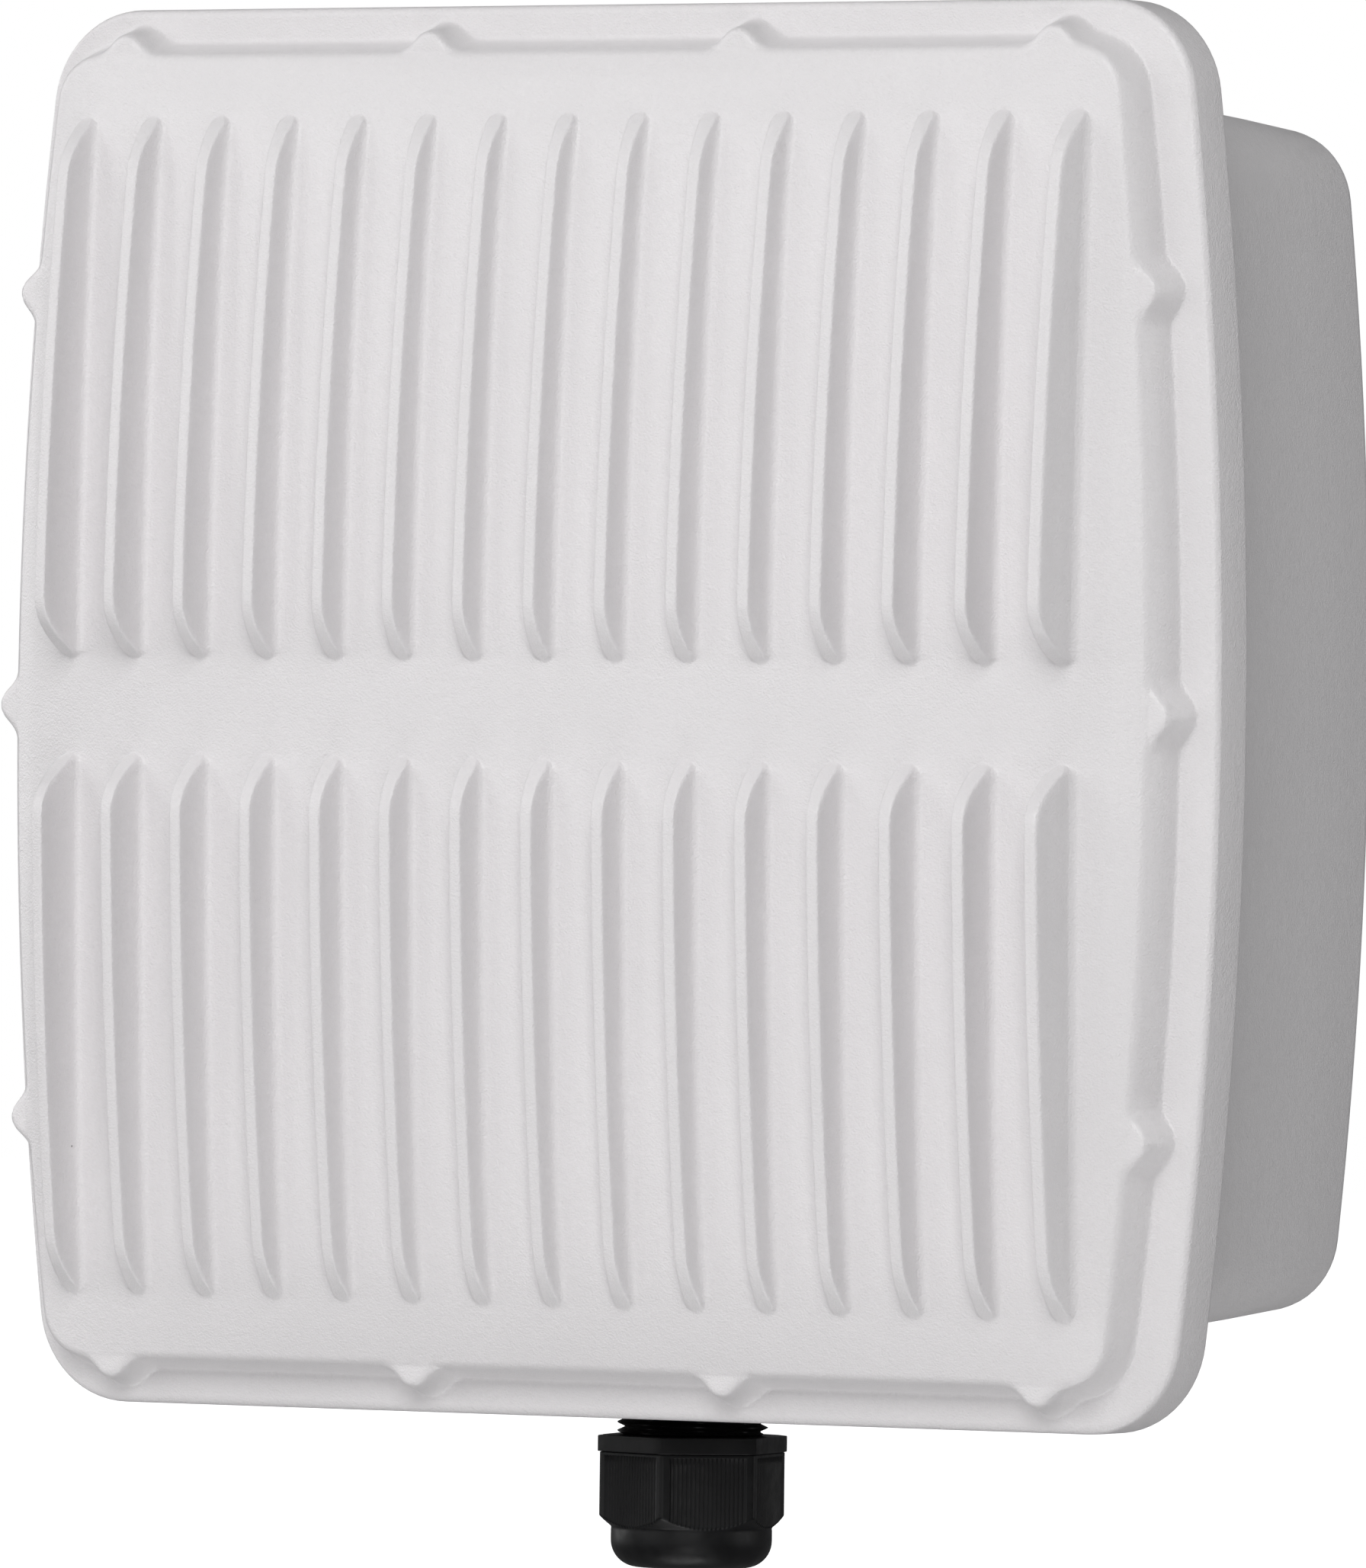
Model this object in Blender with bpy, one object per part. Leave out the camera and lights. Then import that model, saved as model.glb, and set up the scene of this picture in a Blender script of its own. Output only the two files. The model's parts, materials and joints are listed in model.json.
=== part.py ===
"""Outdoor wireless access point: ribbed die-cast cover, deep rear housing, cable gland, electronics.

Frame: +Z up. The origin is the centre of the bracket land, the flat face at the back that meets the
wall bracket. "Out" is the distance from that face towards the viewer, so out = -Y. +X is to the right
of someone who faces the ribbed cover.
"""
import math

import bmesh
import bpy
from mathutils import Vector
from mathutils.geometry import delaunay_2d_cdt

MM = 0.001
GAP = 0.3                     # clearance between touching pieces, in millimetres like every size below

# Front cover
COVER_HALF_WIDTH = 130.4
COVER_HALF_HEIGHT = 130.0
SIDE_BOW = 8.9                # how far a side bulges at mid height, over the cover's full height
CORNER_RADIUS = 18.5
RIM_OUT = 98.0                # front plane of the flat rim
SKIRT_DEPTH = 11.5
SKIRT_WALL = 3.0
RIM_ROUNDING = 1.5
LEFT_ROUNDING = 0.5           # the narrow left side of the rim has a tighter edge
LEFT_TRIM = 5.2               # how much nearer the middle the rim, flange and box are on the left
RIM_THICKNESS = 4.0
RIM_WIDTH_SIDE = 7.7
RIM_WIDTH_END = 6.5
WALL_RISE = 7.6               # plateau edge above the rim
PLATEAU_THICKNESS = 4.5
WALL_DRAFT = 2.3              # how far the plateau wall leans in over its rise
PLATEAU_RADIUS = 11.5
DOME_RISE = 18.0              # middle of the plateau above the rim
DOME_SHARE_ACROSS = 0.57      # part of the dome that falls away evenly; the rest rolls off at the edge
DOME_SHARE_UP = 0.64
ROLL_OFF_POWER = 12

# Ribs
RIB_COLUMNS = 15
RIB_PITCH = 15.05
RIB_INNER_END = 9.0
RIB_OUTER_END = 109.5
RIB_RAMP = 11.0
RIB_CREST_HALF = 1.25
RIB_FOOT_HALF = 1.9
CREST_RISE_END = 16.4         # crest above the rim at the outer rib ends
CREST_BULGE = 8.25            # how much higher the crest is at mid height

# Screw bosses on the plateau wall, and the cover screws behind them
LOBE_RADIUS = 4.2
LOBE_REACH = 3.5
LOBE_FILLET = 3.0
RIM_LOBE_RADIUS = 4.9         # the left rim swells round its three bosses
RIM_LOBE_REACH = 1.7
SIDE_BOSS_HEIGHTS = (-77.0, 0.0, 77.0)
END_BOSS_PITCH = 65.7
SCREW_INSET_SIDE = 9.0        # from the cover's edge to the screw axis
SCREW_INSET_END = 7.6
SCREW_HOLE_RADIUS = 2.3
SCREW_SHANK_RADIUS = 2.0
SCREW_HEAD_RADIUS = 3.7
SCREW_HEAD_HEIGHT = 3.0
SCREW_LENGTH = 12.0

# Rear housing
HOUSING_HALF_WIDTH = 117.1    # at the flange, outside
HOUSING_HALF_HEIGHT = 114.1
HOUSING_BACK_OUT = 3.0        # outside of the back wall
HOUSING_WALL = 4.0
HOUSING_RADIUS = 15.0
BOX_BOW = 6.6
DRAFT = math.tan(math.radians(2.9))
BACK_ROUNDING = 4.0
FLANGE_THICKNESS = 5.0
GASKET_WIDTH = 2.6
GROOVE_DEPTH = 1.5
LAND_HALF = 62.0
LAND_BOLT_PITCH = 100.0
LAND_BOLT_RADIUS = 2.5
LAND_BOLT_DEPTH = 5.5

# Cable gland, on a vertical axis below the housing
GLAND_OUT = 58.0
THREAD_RADIUS = 14.15
PORT_RADIUS = 18.5
PORT_BOTTOM = -122.5
LOCK_NUT_TOP = -125.1
LOCK_NUT_BOTTOM = -129.4
COLLAR_TOP = -134.2
COLLAR_BOTTOM = -137.3
NUT_TOP = -137.6
NUT_CONE_TOP = -149.1
NUT_CONE_BOTTOM = -151.3
NUT_BOTTOM = -158.8
NUT_FLATS_HALF = 15.25
COLLAR_FLATS_HALF = 15.65
DOME_NUT_RADIUS = 15.0
DOME_NUT_ROUNDING = 5.0
NUT_TURN = math.radians(19.0)
CABLE_BORE = 6.6

# Other fittings under the housing: two coaxial sockets, a vent plug and an earth screw
ANTENNA_X = 72.0
ANTENNA_OUT = 50.0
ANTENNA_HOLE = 6.3
VENT_X = 38.0
VENT_HOLE = 4.3
EARTH_HOLE = 2.8

# Circuit board, carried on posts under the cover
BOARD_OUT = 78.0              # rear face of the main board
BOARD_THICKNESS = 1.6
BOARD_HALF_WIDTH = 90.0
BOARD_HALF_HEIGHT = 72.0
BOARD_Z = 5.0
POST_X = 82.0
POST_Z = 64.0
POST_RADIUS = 4.5
BOARD_HOLE = 1.8
RADIO_OUT = 73.0
RADIO_Z = 28.0
JACK_X = -22.0
JACK_BOTTOM = -66.0
RESET_X = 6.0
RESET_Z = -58.0
RESET_TRAVEL = 1.5

ROUND = 32                    # sides of the larger turned pieces
FINE = 16                     # sides of the smaller ones
SIDE_STEPS = 8                # of a bowed side, a straight end and a corner
END_STEPS = 2
CORNER_STEPS = 4


# ---------------------------------------------------------------- helpers

def clear_scene():
    for item in list(bpy.data.objects):
        bpy.data.objects.remove(item, do_unlink=True)


def material(name, colour, roughness, metallic=0.0):
    found = bpy.data.materials.get(name)
    if found:
        return found
    made = bpy.data.materials.new(name)
    made.use_nodes = True
    shader = made.node_tree.nodes["Principled BSDF"]
    shader.inputs["Base Color"].default_value = (*colour, 1.0)
    shader.inputs["Roughness"].default_value = roughness
    shader.inputs["Metallic"].default_value = metallic
    made.diffuse_color = (*colour, 1.0)
    return made


def at(x, out, z):
    """A point from its millimetre place: right, out of the wall, up."""
    return Vector((x * MM, -out * MM, z * MM))


def finish(name, mesh, look, smooth=None):
    """Turn a closed bmesh into a named object."""
    bmesh.ops.remove_doubles(mesh, verts=mesh.verts, dist=1e-7)
    bmesh.ops.recalc_face_normals(mesh, faces=mesh.faces)
    data = bpy.data.meshes.new(name)
    mesh.to_mesh(data)
    mesh.free()
    if smooth is not None:
        data.shade_smooth()
        data.set_sharp_from_angle(angle=math.radians(smooth))
    made = bpy.data.objects.new(name, data)
    bpy.context.scene.collection.objects.link(made)
    if look is not None:
        data.materials.append(look)
    return made


def ring(mesh, points):
    return [mesh.verts.new(point) for point in points]


def band(mesh, first, second):
    """Quads between two rings that have the same number of points."""
    count = len(first)
    for i in range(count):
        j = (i + 1) % count
        mesh.faces.new((first[i], first[j], second[j], second[i]))


def loft(mesh, rings, closed=False):
    """Join rings in order, then cap both ends or close the last onto the first."""
    made = [ring(mesh, points) for points in rings]
    for first, second in zip(made, made[1:]):
        band(mesh, first, second)
    if closed:
        band(mesh, made[-1], made[0])
    else:
        mesh.faces.new(made[0])
        mesh.faces.new(made[-1])
    return made


def circle(centre, radius, height, axis, sides, start=0.0):
    """A circle's points. axis Z: centre (x, out) and height z. axis Y: centre (x, z) and height out."""
    points = []
    for i in range(sides):
        angle = start + 2 * math.pi * i / sides
        a = centre[0] + radius * math.cos(angle)
        b = centre[1] + radius * math.sin(angle)
        points.append(at(a, b, height) if axis == "Z" else at(a, height, b))
    return points


def turned(mesh, centre, profile, axis="Z", sides=FINE, closed=False):
    """A turned solid: profile is (radius, height) pairs; closed makes a ring with a hole through it."""
    rings = [circle(centre, radius, height, axis, sides) for radius, height in profile]
    return loft(mesh, rings, closed)


def arc(centre_r, centre_h, radius, start_deg, end_deg, steps):
    """Profile points on a circle, for turned()."""
    points = []
    for i in range(steps + 1):
        angle = math.radians(start_deg + (end_deg - start_deg) * i / steps)
        points.append((centre_r + radius * math.cos(angle), centre_h + radius * math.sin(angle)))
    return points


def block(mesh, x, out, z):
    """A box from its (low, high) pairs."""
    corners = ((x[0], z[0]), (x[1], z[0]), (x[1], z[1]), (x[0], z[1]))
    loft(mesh, [[at(a, depth, b) for a, b in corners] for depth in out])


def hexagon(centre, flats_half, height, turn):
    return circle(centre, flats_half / math.cos(math.pi / 6), height, "Z", 6, turn)


def cut(target, cutter, operation="DIFFERENCE"):
    """Boolean with a guide object that the build leaves out."""
    cutter.hide_render = True
    cutter.display_type = "WIRE"
    step = target.modifiers.new(cutter.name, "BOOLEAN")
    step.operation = operation
    step.solver = "EXACT"
    step.object = cutter


# ---------------------------------------------------------------- outlines

def lobe_offset(s, radius, reach):
    """How far a lobe pushes an outline out, at distance s along it from the lobe's middle."""
    foot, touch = lobe_stations(radius, reach)
    s = abs(s)
    if s >= foot:
        return 0.0
    if s > touch:
        return LOBE_FILLET - math.sqrt(LOBE_FILLET ** 2 - (foot - s) ** 2)
    return math.sqrt(radius ** 2 - s ** 2) - (radius - reach)


def lobe_stations(radius, reach):
    """Where a lobe's fillet meets the outline, and where it meets the round of the lobe."""
    total = radius + LOBE_FILLET
    rise = radius - reach + LOBE_FILLET
    foot = math.sqrt(total ** 2 - rise ** 2)
    return foot, foot * radius / total


def stations(half_length, bosses, steps):
    """Places along one side, with extra ones round each boss."""
    foot, touch = lobe_stations(LOBE_RADIUS, LOBE_REACH)
    around = (-foot, -(foot + touch) / 2, -touch, -touch * 0.55, 0.0, touch * 0.55, touch,
              (foot + touch) / 2, foot)
    plain = [-half_length + 2 * half_length * i / steps for i in range(steps + 1)]
    keep = [s for s in plain if all(abs(s - boss) > foot + 1.0 for boss in bosses)]
    return sorted(keep + [boss + s for boss in bosses for s in around])


def side_run(half_w, half_h, bow, places, bosses, lobe, size=1.0):
    """One bowed side as (distance from the middle, z) pairs, from low to high; size scales the places."""
    run = []
    for place in places:
        push = max((lobe_offset(place - boss, *lobe) for boss in bosses), default=0.0)
        z = place * size
        run.append((half_w - bow * (z / half_h) ** 2 + push, z))
    return run


def outline(half_w, half_h, bow, radius, left_reach=None):
    """A square with bowed sides, round corners and a trimmed left side, anticlockwise from lower right.

    left_reach gives the left side its three boss places, pushed out that far.
    """
    top, corner_x, corner_z, lean = corner_place(half_w, half_h, bow, radius)
    right = side_run(half_w, half_h, bow, stations(top, (), SIDE_STEPS), (), ())
    turn = corner_run(corner_x, corner_z, radius, lean)
    upper = [(max(x, LEFT_TRIM - corner_x), half_h) for x in stations(corner_x, (), END_STEPS)[::-1]]
    bosses = () if left_reach is None else SIDE_BOSS_HEIGHTS
    rim_top = corner_place(COVER_HALF_WIDTH, COVER_HALF_HEIGHT, SIDE_BOW, CORNER_RADIUS)[0]
    left = side_run(half_w - LEFT_TRIM, half_h, bow, stations(rim_top, bosses, SIDE_STEPS), bosses,
                    (RIM_LOBE_RADIUS, left_reach), top / rim_top)
    left_turn = [(LEFT_TRIM - x, z) for x, z in turn]
    return (right + turn + upper + left_turn[::-1] + [(-x, -z) for x, z in left]
            + [(x, -z) for x, z in left_turn] + [(x, -z) for x, z in upper[::-1]]
            + [(x, -z) for x, z in turn[::-1]])


def corner_place(half_w, half_h, bow, radius):
    """Top of a bowed side's run, the centre of its corner's round, and the side's lean there."""
    top = half_h - radius
    for _ in range(6):
        lean = math.atan(2 * bow * top / half_h ** 2)
        top = half_h - radius + radius * math.sin(lean)
    corner_x = half_w - bow * (top / half_h) ** 2 - radius * math.cos(lean)
    return top, corner_x, half_h - radius, lean


def corner_run(corner_x, corner_z, radius, lean):
    turn = []
    for i in range(1, CORNER_STEPS):
        angle = lean + (math.pi / 2 - lean) * i / CORNER_STEPS
        turn.append((corner_x + radius * math.cos(angle), corner_z + radius * math.sin(angle)))
    return turn


def wall_outline(inset):
    """The plateau wall's symmetrical outline with its fourteen bosses, inset from the wall's foot."""
    half_w = COVER_HALF_WIDTH - RIM_WIDTH_SIDE - inset
    half_h = COVER_HALF_HEIGHT - RIM_WIDTH_END - inset
    radius = PLATEAU_RADIUS - inset
    lobe = (LOBE_RADIUS, LOBE_REACH)
    top, corner_x, corner_z, lean = corner_place(half_w, half_h, SIDE_BOW, radius)
    places = stations(top, SIDE_BOSS_HEIGHTS, SIDE_STEPS)
    right = side_run(half_w, half_h, SIDE_BOW, places, SIDE_BOSS_HEIGHTS, lobe)
    turn = corner_run(corner_x, corner_z, radius, lean)
    bosses = [END_BOSS_PITCH * k for k in (-1.5, -0.5, 0.5, 1.5)]
    end = side_run(half_h, half_w, 0.0, stations(corner_x, bosses, END_STEPS), bosses, lobe)
    half = right + turn + [(x, z) for z, x in end[::-1]] + [(-x, z) for x, z in turn[::-1]]
    return half + [(-x, -z) for x, z in half]


def flat_ring(points, out):
    return [at(x, out, z) for x, z in points]


# ---------------------------------------------------------------- front cover

def plateau_rise(x, z):
    """Height of the domed plateau above the rim."""
    half_w = COVER_HALF_WIDTH - RIM_WIDTH_SIDE - WALL_DRAFT - SIDE_BOW * (z / COVER_HALF_HEIGHT) ** 2
    half_h = COVER_HALF_HEIGHT - RIM_WIDTH_END - WALL_DRAFT
    across = fall_away(abs(x) / half_w, DOME_SHARE_ACROSS)
    up = fall_away(abs(z) / half_h, DOME_SHARE_UP)
    return WALL_RISE + (DOME_RISE - WALL_RISE) * across * up


def fall_away(place, share):
    """1 in the middle, 0 at the edge."""
    place = min(1.0, place)
    return 1 - share * place ** 2 - (1 - share) * place ** ROLL_OFF_POWER


def crest_rise(x, z, inner, outer):
    """Height of a rib's crest above the rim: a flat-backed bulge that ramps down at both ends."""
    full = CREST_RISE_END + CREST_BULGE * (1 - (z / RIB_OUTER_END) ** 2)
    reach = min(abs(z) - inner, outer - abs(z), RIB_RAMP) / RIB_RAMP
    ramp = 1 - (1 - max(0.0, reach)) ** 2
    foot = plateau_rise(x, z)
    return foot + (full - foot) * ramp


def rib_loops(x, sign):
    """Foot and crest outlines of one rib, as lists of (x, z)."""
    length = RIB_OUTER_END - RIB_INNER_END
    ramp_steps = (0.0, 0.12, 0.35, 0.7, 1.0)
    along = [RIB_INNER_END + RIB_RAMP * t for t in ramp_steps]
    along += [RIB_INNER_END + length * t for t in (0.37, 0.63)]
    along += [RIB_OUTER_END - RIB_RAMP * t for t in reversed(ramp_steps)]
    foot = []
    crest = []
    for z in along:
        near = min(z - RIB_INNER_END, RIB_OUTER_END - z)
        narrow = math.sqrt(1 - (1 - min(1.0, near / 2.6)) ** 2)
        foot.append((x, sign * z, RIB_FOOT_HALF * narrow))
        if near > 0:
            crest.append((x, sign * z, RIB_CREST_HALF * narrow))
    return loop_of(foot), loop_of(crest)


def loop_of(spine):
    """A closed outline round a spine of (x, z, half width); zero width makes a pointed end."""
    right = [(x + half, z) for x, z, half in spine if half > 0]
    left = [(x - half, z) for x, z, half in reversed(spine) if half > 0]
    first = [(spine[0][0], spine[0][1])] if spine[0][2] == 0 else []
    last = [(spine[-1][0], spine[-1][1])] if spine[-1][2] == 0 else []
    return first + right + last + left


def inside(loop, x, z):
    """Even-odd test of a point against an outline."""
    found = False
    for (x1, z1), (x2, z2) in zip(loop, loop[1:] + loop[:1]):
        if (z1 > z) != (z2 > z) and x < x1 + (z - z1) * (x2 - x1) / (z2 - z1):
            found = not found
    return found


def fill(mesh, loops, extra, height, outer, hole=None, edges_of=None):
    """Triangulate between outlines, with height(x, z) giving each point's out value.

    edges_of gives the bmesh vertices already made for some outlines, so the fill joins onto them.
    """
    points = []
    edges = []
    ready = {}
    for index, loop in enumerate(loops):
        start = len(points)
        points += [Vector(point) for point in loop]
        edges += [(start + i, start + (i + 1) % len(loop)) for i in range(len(loop))]
        if edges_of and edges_of[index]:
            ready.update({start + i: vert for i, vert in enumerate(edges_of[index])})
    points += [Vector(point) for point in extra]
    flat, _, triangles, origins, _, _ = delaunay_2d_cdt(points, edges, [], 0, 1e-6, True)
    verts = {}
    for triangle in triangles:
        centre = sum((flat[i] for i in triangle), Vector((0, 0))) / len(triangle)
        if not inside(outer, *centre) or (hole and inside(hole, *centre)):
            continue
        corners = []
        for i in triangle:
            if i not in verts:
                source = origins[i][0] if origins[i] else -1
                made = ready.get(source)
                if made is None:
                    x, z = flat[i]
                    made = mesh.verts.new(at(x, height(x, z, source), z))
                verts[i] = made
            corners.append(verts[i])
        mesh.faces.new(corners)


def front_cover(look):
    """Rim, skirt, wall with bosses, domed plateau with ribs, and the hollow behind."""
    mesh = bmesh.new()
    rim_w = COVER_HALF_WIDTH
    rim_h = COVER_HALF_HEIGHT
    foot_w = rim_w - RIM_WIDTH_SIDE
    foot_h = rim_h - RIM_WIDTH_END
    skirt_out = RIM_OUT - SKIRT_DEPTH
    seat_out = RIM_OUT - RIM_THICKNESS

    def edge(inset, out, reach=RIM_LOBE_REACH, left_inset=None):
        points = outline(rim_w - inset, rim_h - inset, SIDE_BOW, CORNER_RADIUS - inset, reach)
        if left_inset is not None:
            points = [(x + left_inset - inset, z) if x < 0 else (x, z) for x, z in points]
        return ring(mesh, flat_ring(points, out)), points

    def cavity(inset, radius, out=None):
        points = outline(foot_w - inset, foot_h - inset, SIDE_BOW, radius, 0.0)
        if out is not None:
            return ring(mesh, flat_ring(points, out))
        under = RIM_OUT - PLATEAU_THICKNESS
        return ring(mesh, [at(x, under + plateau_rise(x, z), z) for x, z in points])

    bevel = 1 - math.sqrt(0.5)
    skirt, _ = edge(0.0, skirt_out)
    front, _ = edge(0.0, RIM_OUT - RIM_ROUNDING)
    corner, _ = edge(bevel * RIM_ROUNDING, RIM_OUT - bevel * RIM_ROUNDING, left_inset=bevel * LEFT_ROUNDING)
    face, face_points = edge(RIM_ROUNDING, RIM_OUT, left_inset=LEFT_ROUNDING)
    foot_points = wall_outline(0.0)
    top_points = wall_outline(WALL_DRAFT)
    foot = ring(mesh, flat_ring(foot_points, RIM_OUT))
    top = ring(mesh, flat_ring(top_points, RIM_OUT + WALL_RISE))
    for first, second in ((skirt, front), (front, corner), (corner, face), (foot, top)):
        band(mesh, first, second)
    fill(mesh, [face_points, foot_points], [], lambda x, z, source: RIM_OUT, face_points,
         foot_points, [face, foot])

    loops = [top_points]
    spans = [(len(top_points), False)]
    columns = [RIB_PITCH * (i - (RIB_COLUMNS - 1) / 2) for i in range(RIB_COLUMNS)]
    for x in columns:
        for sign in (-1, 1):
            rib_foot, rib_crest = rib_loops(x, sign)
            loops += [rib_foot, rib_crest]
            spans += [(len(rib_foot), False), (len(rib_crest), True)]
    on_crest = [raised for length, raised in spans for _ in range(length)]
    between = [RIB_PITCH * (i - RIB_COLUMNS / 2) for i in range(RIB_COLUMNS + 1)]
    levels = [13.5 * k for k in range(-8, 9)]
    extra = [(x, z) for x in between for z in levels]

    def height(x, z, source):
        if 0 <= source < len(on_crest) and on_crest[source]:
            return RIM_OUT + crest_rise(x, z, RIB_INNER_END, RIB_OUTER_END)
        return RIM_OUT + plateau_rise(x, z)

    fill(mesh, loops, extra, height, top_points, None, [top] + [None] * (len(loops) - 1))

    inner = SKIRT_WALL
    lip, _ = edge(inner, skirt_out, 0.0)
    seat, _ = edge(inner, seat_out, 0.0)
    ceiling = [cavity(inset, 8.0) for inset in (7.5, 12.0, 20.0, 34.0, 58.0)]
    ceiling.append(cavity(90.0, 8.0, RIM_OUT + DOME_RISE - PLATEAU_THICKNESS - 0.3))
    inner_rings = [skirt, lip, seat, cavity(6.5, 9.0, seat_out)] + ceiling
    for first, second in zip(inner_rings, inner_rings[1:]):
        band(mesh, first, second)
    mesh.faces.new(inner_rings[-1])
    cover = finish("front_cover", mesh, look, 30)

    posts = bmesh.new()
    for x, z in board_corners():
        turned(posts, (x, z), ((POST_RADIUS, BOARD_OUT + BOARD_THICKNESS + GAP), (POST_RADIUS + 1.0, 109.0)),
               "Y", FINE)
    block(posts, (-16.0, 16.0), (84.4, 113.0), (BOARD_Z - 16.0, BOARD_Z + 16.0))
    cut(cover, finish("cover_posts_guide", posts, None), "UNION")
    holes = bmesh.new()
    for x, z in screw_places():
        turned(holes, (x, z), ((SCREW_HOLE_RADIUS, seat_out - 1.0), (SCREW_HOLE_RADIUS, seat_out + 8.0)),
               "Y", 10)
    for x, z in board_corners():
        turned(holes, (x, z), ((BOARD_HOLE, BOARD_OUT + 1.0), (BOARD_HOLE, BOARD_OUT + 11.5)), "Y", 10)
    cut(cover, finish("cover_holes_guide", holes, None))


def screw_places():
    """Axes of the fourteen cover screws, as (x, z), clockwise from the top left."""
    side_x = COVER_HALF_WIDTH - SCREW_INSET_SIDE
    end_z = COVER_HALF_HEIGHT - SCREW_INSET_END
    places = [(END_BOSS_PITCH * k, end_z) for k in (-1.5, -0.5, 0.5, 1.5)]
    places += [(side_x - SIDE_BOW * (z / COVER_HALF_HEIGHT) ** 2, z) for z in SIDE_BOSS_HEIGHTS[::-1]]
    places += [(END_BOSS_PITCH * k, -end_z) for k in (1.5, 0.5, -0.5, -1.5)]
    places += [(SIDE_BOW * (z / COVER_HALF_HEIGHT) ** 2 - side_x + LEFT_TRIM, z) for z in SIDE_BOSS_HEIGHTS]
    return places


def board_corners():
    return [(x, BOARD_Z + z) for z in (POST_Z, -POST_Z) for x in (-POST_X, POST_X)]


def cover_screws(look):
    """Socket-head screws, driven from behind through the housing's flange."""
    head_out = housing_flange_out() - GAP
    for number, place in enumerate(screw_places(), 1):
        mesh = bmesh.new()
        turned(mesh, place, (
            (1.5, head_out - SCREW_HEAD_HEIGHT + 1.6), (1.5, head_out - SCREW_HEAD_HEIGHT),
            (SCREW_HEAD_RADIUS - 0.4, head_out - SCREW_HEAD_HEIGHT),
            (SCREW_HEAD_RADIUS, head_out - SCREW_HEAD_HEIGHT + 0.5), (SCREW_HEAD_RADIUS, head_out),
            (SCREW_SHANK_RADIUS, head_out), (SCREW_SHANK_RADIUS, head_out + SCREW_LENGTH)), "Y", 12)
        finish(f"cover_screw_{number:02d}", mesh, look, 40)


# ---------------------------------------------------------------- rear housing

def housing_flange_out():
    """Rear face of the housing's flange, where the screw heads sit."""
    return RIM_OUT - RIM_THICKNESS - GAP - FLANGE_THICKNESS


def housing_half(out):
    """Outside half width and half height of the drafted box at a distance from the wall."""
    lean = DRAFT * (housing_flange_out() - out)
    return HOUSING_HALF_WIDTH - lean, HOUSING_HALF_HEIGHT - lean


def box_ring(out, inset, radius=None):
    half_w, half_h = housing_half(out)
    radius = HOUSING_RADIUS - inset if radius is None else radius
    return flat_ring(outline(half_w - inset, half_h - inset, BOX_BOW, radius), out)


def flange_ring(half_w, half_h, radius, out, bow=SIDE_BOW):
    return flat_ring(outline(half_w, half_h, bow, radius), out)


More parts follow.
